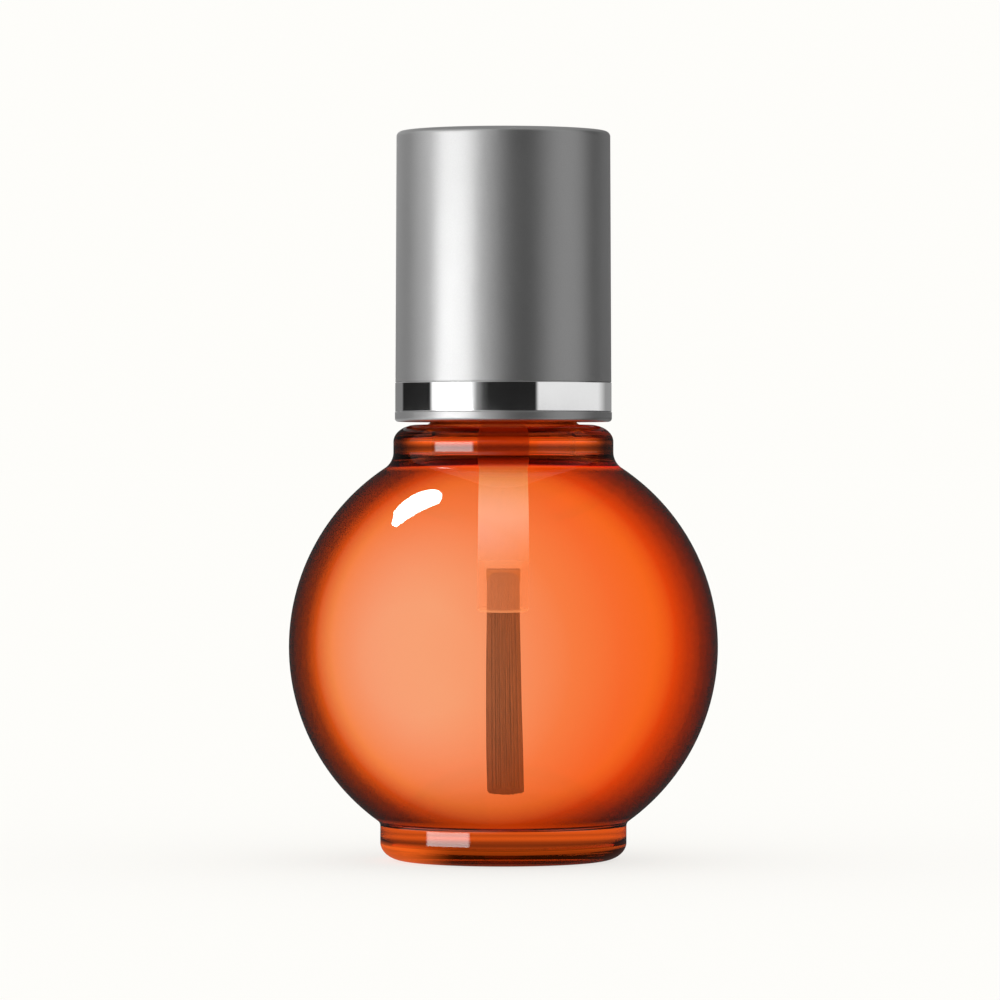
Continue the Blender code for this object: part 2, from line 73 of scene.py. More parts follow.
# Facets of the fine surfaces: steps round the axis, steps in an arc, and degrees in one of its steps
TURN_STEPS = 192
STEM_STEPS = 96
FLOOR_STEPS = 96
ARC_STEP = 2.0
CORNER_STEPS = 3
SMALL_ARC_STEPS = 8
MIDDLE_ARC_STEPS = 12
RECESS_STEPS = 16
GLASS_ARC_STEPS = 40
THREAD_ROWS = 90

# Distance within which points are merged
WELD = 0.0000005

# How many times its neighbour's length a straight stretch has that gets braced
LONG_STRETCH = 4.0

# Angle in degrees from which an edge is shaded sharp
SHARP_ANGLE = 40.0

# Order of the glass's materials: its outside, its inside and its rounded edges
OUTER_SKIN, INNER_SKIN, ROUND_EDGES = range(3)

# Half the width of a rib on the insert, as a share of the way from rib to rib
RIB_SHARE = 0.16

# The anchor's rounded edges
WIRE_ROUND_SHARE = 0.2
WIRE_ROUND_STEPS = 4

# Shares of a filament's length that have a ring of corners, and the share that is in the stem
FILAMENT_LEVELS = (0.0, 0.04, 0.11, 0.18, 0.40, 0.60, 0.80, 0.985, 1.0)
STEM_SHARE = (TUFT_TOP.z - STEM_FOOT.z) / (TUFT_TOP.z - TUFT_FOOT.z)

# A filament's sides, its turn in degrees, its width at the cut tip and its sway, as shares of its thickness
FILAMENT_SIDES = 6
FILAMENT_TURN = 30
TIP_SHARE = 0.72
SWAY_SHARE = 0.35

# Seed of the tuft's random draws, and how suddenly its folded end rounds off to the side
FILAMENT_SEED = 7
FOLD_POWER = 6

# How strongly light bends, and how fast the oil takes it up
GLASS_IOR = 1.52
OIL_IOR = 1.47
PLASTIC_IOR = 1.5
OIL_DENSITY = 61.0

# Fine structure of the finishes: its scale and depth, wear and haze, and the tones between which it varies
WAVES_SCALE = 110.0
WAVES_DEPTH = 0.00002
SATIN_DEPTH = 0.000002
TOOLING_DEPTH = 0.000004
SATIN_WEAR = -0.02
POLISH_HAZE = 0.01
SATIN_TONES = (0.94, 1.06)
CLOUDY_TONE = 0.95
NYLON_TONES = (0.6, 1.7)
NYLON_SCALE = (9000.0, 9000.0, 400.0)
NYLON_ROUGHNESS = 0.3
NYLON_SPREAD = 0.2
MARKS_STOPS = ((0.42, 0.0), (0.68, 1.0))

# How much the glass's painted shade leans in a metre, deeper to one side and down
PAINTED_SHADE_LEAN = (4.1, 0.0, -1.2)

# Painted shade of the glass, by how far its surface turns away: how deep its painted tones are, and how
# bright
EDGE_PAINTED_TONES = (
    (0.05, (1.0, 1.0, 1.0)),
    (0.16, (1.0, 0.80, 0.74)),
    (0.25, (1.0, 0.62, 0.44)),
    (0.36, (1.0, 0.46, 0.12)),
    (0.46, (1.0, 0.11, 0.001)),
    (0.55, (1.0, 0.09, 0.0003)),
)
EDGE_SHADE = ((0.34, 1.0), (0.42, 0.83), (0.465, 0.65), (0.55, 0.33))
RIM_SHADE = (
    (0.40, 1.0),
    (0.50, 0.85),
    (0.56, 0.48),
    (0.608, 0.22),
    (0.688, 0.085),
    (0.80, 0.015),
)
COLLAR_SHADE = ((0.30, 1.0), (0.42, 0.42), (0.535, 0.06), (0.61, 0.01))

# How far up the collar's surface faces where its side ends and where its flat top begins
COLLAR_SLOPE = (0.3, 0.8)

# Painted light and shade up the glass, in bright and dark bands, from the foot of the collar to the
# shoulder, and from the table to the ball
COLLAR_PAINTED_BANDS_DEPTH = 0.0032
COLLAR_PAINTED_BANDS = (
    (0.00, 1.0),
    (0.08, 1.0),
    (0.14, 0.30),
    (0.19, 0.01),
    (0.22, 0.02),
    (0.26, 0.60),
    (0.31, 0.66),
    (0.37, 0.32),
    (0.44, 0.20),
    (0.50, 0.45),
    (0.56, 1.0),
    (0.61, 1.0),
    (0.66, 0.75),
    (0.71, 0.14),
    (0.79, 0.18),
    (0.86, 0.50),
    (0.93, 0.22),
    (1.00, 0.20),
)
FOOT_PAINTED_BANDS = (
    (0.0, 0.25),
    (0.16, 0.25),
    (0.22, 0.15),
    (0.285, 0.08),
    (0.34, 0.12),
    (0.385, 0.45),
    (0.42, 0.70),
    (0.45, 0.55),
    (0.49, 0.33),
    (0.525, 0.65),
    (0.56, 0.80),
    (0.76, 0.74),
    (0.82, 0.68),
    (0.87, 1.0),
    (0.96, 0.8),
)

# Heights between which the glass is a little less smooth, where it isn't seen at a grazing angle
GLASS_WALLS = ((0.00168, 0.00294), (0.0321, 0.0332))
COLLAR_HEIGHTS = ((0.0308, 0.0348),)
WALL_FADE = 0.00012
WALL_ROUGHNESS = 0.03
HAZE_FACING = (0.5, 0.4)

# Heights between which the glass turns from one wall to the next and shows no glint
ROUNDS = ((-0.001, 0.0015), (0.0030, 0.0037), (0.0308, 0.0321), (0.0332, 0.0348))

# Painted light on the oil: it is painted paler round a line through the ball, by the distance from it, but
# not up in the neck
PAINTED_LIGHT_PLACE = (-0.006, 0.0163)
PAINTED_LIGHT_REACH = (0.004, 0.018)
PAINTED_LIGHT_TONES = (
    (0.0, (1.0, 1.0, 1.0)),
    (0.5, (1.0, 0.50, 0.20)),
    (0.75, (1.0, 0.41, 0.11)),
    (1.0, (1.0, 0.58, 0.07)),
)
NECK_CLEAR = (0.0295, 0.0315)

# Glint where oil wets glass, which is next to none
WETTED = (0.0, 0.0, 0.0)

# The stem from its end up: how solid it looks, and the painted glow that it shows in the oil
STEM_REACH = 0.010
STEM_SOLID = (
    (0.0, 0.4),
    (0.010, 0.4),
    (0.0175, 0.22),
    (0.225, 0.22),
    (0.28, 0.28),
    (0.55, 0.42),
)
STEM_PAINTED_GLOW = (
    (0.0, (0.45, 0.28, 0.16)),
    (0.010, (0.45, 0.28, 0.16)),
    (0.0175, (0.42, 0.19, 0.10)),
    (0.225, (0.42, 0.21, 0.12)),
    (0.28, (0.43, 0.29, 0.22)),
    (0.55, (0.46, 0.64, 0.98)),
    (1.0, (0.47, 0.74, 1.0)),
)
STEM_PAINTED_LIGHT = 1.8

# Heights over which the stem goes into the painted deep tone of the neck, a painted shade, with that tone
# and its painted glow
STEM_IN_NECK = (0.0246, 0.0300)
NECK_PAINTED_TONE = (1.0, 0.38, 0.22)
NECK_PAINTED_GLOW = (0.10, 0.012, 0.0)

# Painted glow in the rounded heel on one side, standing in for light through the oil: the heights and the
# distances between which it fades
HEEL_HEIGHTS = (0.0018, 0.0011)
HEEL_SIDE = (-0.0035, -0.0078)
HEEL_PAINTED_GLOW = (0.60, 0.085, 0.008)
HEEL_PAINTED_DUSK = (0.022, 0.003, 0.0)

# Heights over which the painted deep tone ends in the neck, above the oil
NECK_TOP_CLEAR = (0.0362, 0.0374)

# The studio: brightness by compass angle, as the mirror, the walls of the glass and satin metal show it
PANEL_LIGHT = 7.0
MIRROR_PANELS = (
    (-160, 0.22),
    (-138, 0.22),
    (-134, 0.015),
    (-85.2, 0.015),
    (-80.5, 1.3),
    (-35.5, 1.3),
    (-33, 0.90),
    (-28, 0.28),
    (-21, 0.065),
    (-15, 0.015),
    (34.5, 0.015),
    (37.5, 0.86),
    (121, 0.82),
    (140, 0.3),
)
WALL_PANELS = (
    (-160, 0.1),
    (-120, 0.05),
    (-77, 0.05),
    (-75, 7.0),
    (-33, 7.0),
    (-31, 0.05),
    (120, 0.05),
)
SATIN_PANELS = (
    (-150, 0.45),
    (-122, 0.36),
    (-93, 0.76),
    (-31, 0.77),
    (12, 0.09),
    (30, 0.09),
    (62, 0.41),
    (84, 0.41),
    (112, 0.04),
    (140, 0.21),
)

# Elevations in degrees between which the mirror and the glass walls see their panels
MIRROR_LEVELS = (0.45, 1.4)
COLLAR_LEVELS = (-0.9, 0.3)
FOOT_LEVELS = (-4.8, -2.6)
LEVEL_FADE = 0.1

# Shares of the way from straight down to straight up: where the panels hang, and how light it is behind
PANEL_HEIGHTS = ((0.15, 0.0), (0.3, 1.0), (0.62, 1.0), (0.75, 0.0))
BEHIND_HEIGHTS = ((0.0, 1.0), (0.62, 1.0), (0.8, 0.35))
OVERHEAD_LIGHT = 0.35
DARK_LIGHT = 0.05

# A lamp whose round light is cut by two flags: directions, and angles in degrees from them
SOFTBOX_AXIS = (-0.527, 0.179, 0.831)
SOFTBOX_ANGLE = 10.0
SOFTBOX_FLAGS = (((0.227, 0.969, -0.099), 96.54), ((0.698, -0.434, 0.570), 97.61))
SOFTBOX_FADE = 0.2
SOFTBOX_LIGHT = 30.0

# The frame of the picture, in its own pixels, and where the bottle stands in it
PICTURE_WIDTH = 1000
PICTURE_CENTRE = 500
PICTURE_AXIS_X = 503.4
PICTURE_EYE_LEVEL_Y = 465
SENSOR_WIDTH = 36.0
CAMERA_REACH = (0.01, 100.0)


def length(label, description, default):
    """A length that a user can change."""
    return bpy.props.FloatProperty(
        name=label, description=description, default=default, unit="LENGTH", precision=5, min=0.0
    )


def count(label, description, default):
    """A whole number that a user can change."""
    return bpy.props.IntProperty(name=label, description=description, default=default, min=1)


def share(label, description, default):
    """A number without a unit that a user can change."""
    return bpy.props.FloatProperty(name=label, description=description, default=default, min=0.0)


def colour(label, description, default):
    """A colour that a user can change."""
    return bpy.props.FloatVectorProperty(
        name=label, description=description, default=default, subtype="COLOR", size=3, min=0.0, max=1.0
    )


class GlassSizes(bpy.types.PropertyGroup):
    """Sizes of the glass."""

    ball: length("Ball radius", "Outside of the ball", GLASS_TOP.x)
    wall: length("Wall", "Thickness of the glass in the ball", 0.0030)
    ball_sink: length("Ball sink", "How far the ball's lowest point would lie under the table", 0.0001)
    cavity_raise: length("Cavity raise", "Height of the cavity's centre over the ball's", 0.0003)
    foot: length("Foot radius", "Outside of the foot", 0.00976)
    foot_fillet: length("Foot fillet", "Fillet between the foot and the ball", 0.0005)
    heel_width: length("Heel width", "Width of the rounded heel", 0.0019)
    heel_height: length("Heel height", "Height of the rounded heel", 0.0014)
    rest: length("Rest ring", "Width of the ring that stands on the table", 0.0026)
    recess: length("Recess", "Depth of the hollow under the foot", 0.0007)
    collar: length("Collar radius", "Outside of the shoulder collar", 0.00872)
    collar_fillet: length("Collar fillet", "Fillet between the ball and the collar", 0.0015)
    shoulder_width: length("Shoulder width", "Width of the collar's rounded edge", 0.0019)
    shoulder_height: length("Shoulder height", "Height of the collar's rounded edge", 0.00135)
    shoulder_drop: length("Shoulder drop", "Depth of the shoulder under the cap's edge", 0.00023)
    neck: length("Neck radius", "Outside of the neck under its thread", 0.00575)
    neck_wall: length("Neck wall", "Thickness of the glass in the neck", 0.00205)
    neck_root: length("Neck root", "Fillet between the neck and the shoulder", 0.0004)
    bore_fillet: length("Bore fillet", "Fillet between the cavity and the neck's bore", 0.0025)
    rim_round: length("Rim round", "Rounding of the neck's rim", 0.0004)


class ThreadSizes(bpy.types.PropertyGroup):
    """Sizes of the thread on the neck and in the cap."""

    pitch: length("Pitch", "Rise of the thread in one turn", 0.002117)
    turns: share("Turns", "Turns of the ridge", 2.0)
    depth: length("Depth", "Height of the ridge over its wall", 0.0007)
    root: length("Root width", "Width of the ridge at its wall", 0.0011)
    crest: length("Crest width", "Width of the ridge at its top", 0.00045)
    top_drop: length("Top drop", "Depth of the ridge's upper end under the rim", 0.0016)
    run_out: share("Run-out", "Share of a turn in which the ridge thins out", 0.1)
    flank_gap: length("Flank gap", "Play between the two ridges", 0.0003)
    lag: share("Lag", "Share of a turn by which the cap's ridge starts earlier", 0.25)


class OilSizes(bpy.types.PropertyGroup):
    """Sizes of the filling."""

    overlap: length("Overlap", "How far the oil's skin lies in the glass, so that no air gap shows", 0.00005)
    meniscus: length("Meniscus", "Rise and width of the oil's edge on the glass", 0.0005)


class CapSizes(bpy.types.PropertyGroup):
    """Sizes of the cap's shell, band and moulded insert."""

    lip_proud: length("Lip proud", "How far the lip stands out over the shell", 0.00003)
    draft: length("Draft", "How much the shell narrows up to its top", 0.0001)
    shell_wall: length("Shell wall", "Thickness of the drawn shell", 0.0006)
    top_round: length("Top round", "Rounding of the shell's top edge", 0.00042)
    lip_round: length("Lip round", "Rounding of the lip's outer edge", 0.00028)
    band: length("Band", "Thickness of the polished band", 0.00025)
    band_gap: length("Band gap", "Play of the band in its groove", 0.00003)
    band_split: length("Band split", "Width of the slit at the back of the band", 0.0004)
    band_round: length("Band round", "Rounding of the band's edges", 0.00003)
    edge_round: length("Edge round", "Rounding of small moulded and turned edges", 0.00008)
    insert_wall: length("Insert wall", "Thickness of the insert's skirt", 0.00092)
    upper_wall: length("Upper wall", "Thickness of the insert over its web", 0.0008)
    rib: length("Rib", "Height of the ribs that hold the insert in the shell", 0.00014)
    ribs: count("Ribs", "Ribs round the insert", 16)
    mouth_chamfer: length("Mouth chamfer", "Chamfer of the insert's mouth", 0.0004)
    web: length("Web", "Thickness of the web over the neck", 0.0012)
    web_seat: length("Web seat", "Gap between the liner and the web", 0.00018)
    socket_wall: length("Socket wall", "Wall of the socket that holds the stem", 0.00125)
    socket_height: length("Socket height", "Height of the socket over the web", 0.0024)
    socket_gap: length("Socket gap", "Play of the stem in its socket", 0.00025)


class BrushSizes(bpy.types.PropertyGroup):
    """Sizes of the stem and the brush."""

    stem: length("Stem radius", "Outside of the stem", 0.0014)
    bore: length("Bore radius", "Bore that holds the tuft", 0.001025)
    bore_gap: length("Bore end gap", "Space over the tuft in the bore", 0.0004)
    end_round: length("End round", "Rounding of the stem's end", 0.00018)
    flange: length("Flange thickness", "Thickness of the sealing flange", 0.0008)
    spigot: length("Spigot radius", "Part of the stem in the socket", 0.0015)
    barb: length("Barb height", "Height of the barbed head", 0.0012)
    barb_overhang: length("Barb overhang", "How far the barb grips over the socket", 0.0004)
    barb_narrowing: length("Barb narrowing", "How much the barb narrows to its top", 0.00095)
    tuft: length("Tuft radius", "Radius of the tuft at the stem's end", 0.000925)
    fold: length("Fold height", "Height of the tuft's folded end over the anchor", 0.0006)
    strand: length("Strand thickness", "Thickness of one filament", 0.000078)
    strand_space: length("Strand space", "Space between two filaments at the stem's end", 0.000012)
    lean: length("Lean", "How far the tuft's tip leans to one side", 0.00012)
    uneven: length("Uneven", "How unevenly the tips are cut", 0.00006)


class FinishColours(bpy.types.PropertyGroup):
    """Colours of the finishes."""

    glass: colour("Glass", "Tint of the clear glass", (0.99, 0.99, 0.985))
    # Painted tone: the collar and the foot are clear glass, painted with the orange that the oil shows
    # through them
    glass_wall_painted_tone: colour("Glass wall", "Tone of the collar and the foot", (1.0, 0.125, 0.010))
    oil: colour("Oil", "Colour that the oil lets through", (1.0, 0.42, 0.0))
    satin: colour("Satin metal", "Anodised aluminium of the shell", (0.62, 0.62, 0.62))
    polished: colour("Polished metal", "Mirror finish of the band", (0.92, 0.92, 0.92))
    moulded: colour("Moulded insert", "Natural polypropylene", (0.84, 0.84, 0.81))
    foam: colour("Foam", "Closed-cell liner", (0.88, 0.87, 0.83))
    stem: colour("Stem", "Natural polyethylene", (0.88, 0.84, 0.80))
    brass: colour("Anchor", "Flat brass wire", (0.78, 0.60, 0.28))
    bristle: colour("Bristles", "Brown nylon", (0.46, 0.33, 0.24))
    # Painted glow of the bristles, where they are seen through the oil
    bristle_painted_glow: colour("Bristle glow", "Light of the oil among the filaments", (0.13, 0.08, 0.05))


class StageSettings(bpy.types.PropertyGroup):
    """The floor, the light and the camera."""

    distance: length("Camera distance", "From the camera to the bottle's axis", 0.458)
    eye_height: length("Eye height", "Height of the camera over the table", 0.0313)
    lens: share("Lens", "Focal length in millimetres", 208.0)
    floor: length("Floor", "Radius of the floor", 20.0)
    floor_drop: length("Floor drop", "Gap between the floor and the rest ring", 0.00003)
    shadow_lift: share("Shadow lift", "Share by which the shadow on the floor is lightened", 0.75)
    backdrop: colour("Backdrop", "Colour of the floor and of what lies behind", (0.991, 0.984, 0.955))


def arc(centre, width, height, start, end, steps):
    """Points on an ellipse in the plane of radius and height, from one angle to another in degrees."""
    points = []
    for step in range(steps + 1):
        angle = math.radians(start + (end - start) * step / steps)
        points.append((centre[0] + width * math.cos(angle), centre[1] + height * math.sin(angle)))
    return points


def round_arc(centre, radius, start, end, steps=SMALL_ARC_STEPS):
    """Points on a circle, from one angle to another in degrees."""
    return arc(centre, radius, radius, start, end, steps)


def fine_arc(centre, radius, start, end):
    """Points on a circle, close enough together for a smooth outline."""
    return round_arc(centre, radius, start, end, math.ceil(abs(end - start) / ARC_STEP))


def fillet_height(wall, ball, fillet):
    """Height over the ball's centre of the centre of a fillet between a ball and an upright wall."""
    return math.sqrt((ball + fillet) ** 2 - (wall + fillet) ** 2)


def ball_angle(wall, ball, fillet):
    """Angle over the horizontal, in degrees, at which a fillet to an upright wall leaves the ball."""
    return math.degrees(math.atan2(fillet_height(wall, ball, fillet), wall + fillet))


def rounded(outline, radius, closed=True):
    """The outline with each of its corners cut to a small round."""
    points = []
    last = len(outline) - 1
    for index, corner in enumerate(outline):
        if not closed and index in (0, last):
            points.append(corner)
            continue
        here = Vector(corner)
        before = Vector(outline[index - 1]) - here
        after = Vector(outline[(index + 1) % len(outline)]) - here
        reach = min(radius, before.length / 2, after.length / 2)
        start = here + before.normalized() * reach
        end = here + after.normalized() * reach
        for step in range(CORNER_STEPS + 1):
            share_done = step / CORNER_STEPS
            left = start.lerp(here, share_done)
            right = here.lerp(end, share_done)
            points.append(tuple(left.lerp(right, share_done)))
    return points


def braced(outline, closed):
    """The outline with a point near both ends of each long straight stretch, to keep its shading flat."""
    ends = outline[1:] + outline[:1]
    lengths = [math.dist(start, end) for start, end in zip(outline, ends)]
    points = []
    last = len(outline) - 1
    for index, (start, end) in enumerate(zip(outline, ends)):
        points.append(start)
        if index == last and not closed:
            continue
        before = lengths[index - 1]
        after = lengths[(index + 1) % len(lengths)]
        stretch = Vector(end) - Vector(start)
        if stretch.length > LONG_STRETCH * before > 0:
            points.append(tuple(Vector(start) + stretch.normalized() * before))
        if stretch.length > LONG_STRETCH * after > 0:
            points.append(tuple(Vector(end) - stretch.normalized() * after))
    return points


def turned(outline, closed, steps, turn=FULL_TURN, start=0.0):
    """A bmesh turned about the Z axis from an outline of (radius, height) points."""
    body = bmesh.new()
    corners = [body.verts.new((radius, 0, height)) for radius, height in braced(outline, closed)]
    edges = [body.edges.new(pair) for pair in zip(corners, corners[1:])]
    if closed:
        edges.append(body.edges.new((corners[-1], corners[0])))
    bmesh.ops.rotate(body, cent=(0, 0, 0), matrix=Matrix.Rotation(start, 3, "Z"), verts=corners)
    full = math.isclose(turn, FULL_TURN)
    bmesh.ops.spin(
        body,
        geom=corners + edges,
        cent=(0, 0, 0),
        axis=(0, 0, 1),
        dvec=(0, 0, 0),
        angle=turn,
        steps=steps,
        use_merge=full,
        use_duplicate=False,
    )
    bmesh.ops.remove_doubles(body, verts=body.verts, dist=WELD)
    if not full:
        ends = [edge for edge in body.edges if edge.is_boundary]
        bmesh.ops.holes_fill(body, edges=ends, sides=0)
    bmesh.ops.recalc_face_normals(body, faces=body.faces)
    return body


def add_piece(name, body, material, carrier, node):
    """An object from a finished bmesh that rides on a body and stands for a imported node."""
    mesh = bpy.data.meshes.new(name)
    body.to_mesh(mesh)
    body.free()
    mesh.shade_smooth()
    mesh.set_sharp_from_angle(angle=math.radians(SHARP_ANGLE))
    mesh.materials.append(material)
    item = bpy.data.objects.new(name, mesh)
    bpy.context.scene.collection.objects.link(item)
    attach(item, carrier)
    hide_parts(node)
    return item


def add_node(tree, kind, inputs=(), **settings):
    """A node with its settings, its plain inputs and its links."""
    made = tree.nodes.new(kind)
    for name, value in settings.items():
        setattr(made, name, value)
    for name, value in dict(inputs).items():
        if isinstance(value, bpy.types.NodeSocket):
            tree.links.new(value, made.inputs[name])
        else:
            made.inputs[name].default_value = value
    return made


def math_of(tree, operation, first, second=0.0, clamp=False):
    """The outcome of a Math node."""
    made = add_node(tree, "ShaderNodeMath", {0: first, 1: second}, operation=operation)
    made.use_clamp = clamp
    return made.outputs[0]


def blend_of(tree, factor, first, second, mode="MIX"):
    """The outcome of a colour Mix node, whose colours are its sockets 6 and 7 and its third output."""
    made = tree.nodes.new("ShaderNodeMix")
    made.data_type = "RGBA"
    made.blend_type = mode
    for socket, value in zip((made.inputs[0], made.inputs[6], made.inputs[7]), (factor, first, second)):
        if isinstance(value, bpy.types.NodeSocket):
            tree.links.new(value, socket)
        else:
            socket.default_value = value
    return made.outputs[2]


def ramp_of(tree, factor, stops, interpolation="LINEAR"):
    """The colour of a Color Ramp with these (place, colour or grey) stops."""
    made = add_node(tree, "ShaderNodeValToRGB", {"Fac": factor})
    made.color_ramp.interpolation = interpolation
    elements = made.color_ramp.elements
    while len(elements) < len(stops):
        elements.new(0.5)
    for element, (place, value) in zip(elements, stops):
        element.position = place
        element.color = (*value, 1.0) if isinstance(value, tuple) else (value, value, value, 1.0)
    return made.outputs["Color"]


def opaque(rgb):
    """A colour with full alpha."""
    return (*rgb, 1.0)


def toned(rgb, factor):
    """A colour made darker or lighter by a factor, with full alpha."""
    return opaque([min(1.0, factor * part) for part in rgb])


def new_group(name, inputs, outputs):
    """An empty shader node group with number inputs and the named outputs."""
    group = bpy.data.node_groups.new(name, "ShaderNodeTree")
    for label, default in inputs:
        socket = group.interface.new_socket(label, in_out="INPUT", socket_type="NodeSocketFloat")
        socket.default_value = default
    for label, kind in outputs:
        group.interface.new_socket(label, in_out="OUTPUT", socket_type=kind)
    return group, group.nodes.new("NodeGroupInput"), group.nodes.new("NodeGroupOutput")


def surface_grain():
    """Node group: a fine grain on a base roughness, and the height that goes with it."""
    name = "Surface grain"
    if name in bpy.data.node_groups:
        return bpy.data.node_groups[name]
    inputs = (("Scale", 4000.0), ("Stretch", 1.0), ("Roughness", 0.3), ("Spread", 0.05))
    outputs = (("Roughness", "NodeSocketFloat"), ("Height", "NodeSocketFloat"))
    group, entry, leave = new_group(name, inputs, outputs)
    place = add_node(group, "ShaderNodeTexCoord").outputs["Object"]
    stretch = add_node(group, "ShaderNodeCombineXYZ", {"X": 1.0, "Y": 1.0, "Z": entry.outputs["Stretch"]})
    factors = {0: place, 1: stretch.outputs[0]}
    scaled = add_node(group, "ShaderNodeVectorMath", factors, operation="MULTIPLY")
    grain = add_node(
        group,
        "ShaderNodeTexNoise",
        {"Vector": scaled.outputs[0], "Scale": entry.outputs["Scale"], "Detail": 3.0},
    )
    centred = math_of(group, "SUBTRACT", grain.outputs[0], 0.5)
    swing = math_of(group, "MULTIPLY", centred, entry.outputs["Spread"])
    level = math_of(group, "ADD", swing, entry.outputs["Roughness"], clamp=True)
    group.links.new(level, leave.inputs["Roughness"])
    group.links.new(grain.outputs[0], leave.inputs["Height"])
    return group


def handling_marks():
    """Node group: soft patches, where hands have touched a finish, from 0 to 1."""
    name = "Handling marks"
    if name in bpy.data.node_groups:
        return bpy.data.node_groups[name]
    group, entry, leave = new_group(name, (("Scale", 160.0),), (("Mask", "NodeSocketFloat"),))
    place = add_node(group, "ShaderNodeTexCoord").outputs["Object"]
    cloud = add_node(
        group,
        "ShaderNodeTexNoise",
        {"Vector": place, "Scale": entry.outputs["Scale"], "Detail": 4.0, "Distortion": 0.6},
    )
    patches = ramp_of(group, cloud.outputs[0], MARKS_STOPS, "EASE")
    mask = add_node(group, "ShaderNodeRGBToBW", {"Color": patches})
    group.links.new(mask.outputs[0], leave.inputs["Mask"])
    return group


def use_group(tree, group, **values):
    """A group node in a material, with its own values."""
    made = tree.nodes.new("ShaderNodeGroup")
    made.node_tree = group
    for name, value in values.items():
        made.inputs[name].default_value = value
    return made


def bump_of(tree, height, distance, strength=1.0):
    """The normal of a Bump node."""
    inputs = {"Height": height, "Distance": distance, "Strength": strength}
    return add_node(tree, "ShaderNodeBump", inputs).outputs["Normal"]


def new_material(name, viewport_colour):
    """An empty material with a Principled shader."""
    material = bpy.data.materials.new(name)
    material.use_nodes = True
    material.diffuse_color = opaque(viewport_colour)
    tree = material.node_tree
    return material, tree, tree.nodes["Principled BSDF"]


def height_of(tree):
    """Height over the table of the shaded point, in its own object's coordinates."""
    place = add_node(tree, "ShaderNodeTexCoord").outputs["Object"]
    return add_node(tree, "ShaderNodeSeparateXYZ", {0: place}).outputs["Z"]


def share_between(tree, value, low, high, smooth=True):
    """A value's share of the way from one limit to the other, between 0 and 1."""
    made = add_node(tree, "ShaderNodeMapRange", {"Value": value, "From Min": low, "From Max": high})
    if smooth:
        made.interpolation_type = "SMOOTHSTEP"
    return made.outputs[0]


def plain_glass(name, colours):
    """Clear glass with the faint waviness of a mould's surface."""
    material, tree, shader = new_material(name, colours.glass)
    place = add_node(tree, "ShaderNodeTexCoord").outputs["Object"]
    waves = add_node(tree, "ShaderNodeTexNoise", {"Vector": place, "Scale": WAVES_SCALE, "Detail": 1.0})
    tree.links.new(bump_of(tree, waves.outputs[0], WAVES_DEPTH), shader.inputs["Normal"])
    shader.inputs["Base Color"].default_value = opaque(colours.glass)
    shader.inputs["Roughness"].default_value = 0.0
    shader.inputs["Transmission Weight"].default_value = 1.0
    shader.inputs["IOR"].default_value = GLASS_IOR
    return material


def band_mask(tree, height, limits, fade):
    """1 between two heights, fading to 0 just outside of them."""
    low, high = limits
    over_foot = share_between(tree, height, low - fade, low)
    over_head = share_between(tree, height, high, high + fade)
    return math_of(tree, "SUBTRACT", over_foot, over_head)


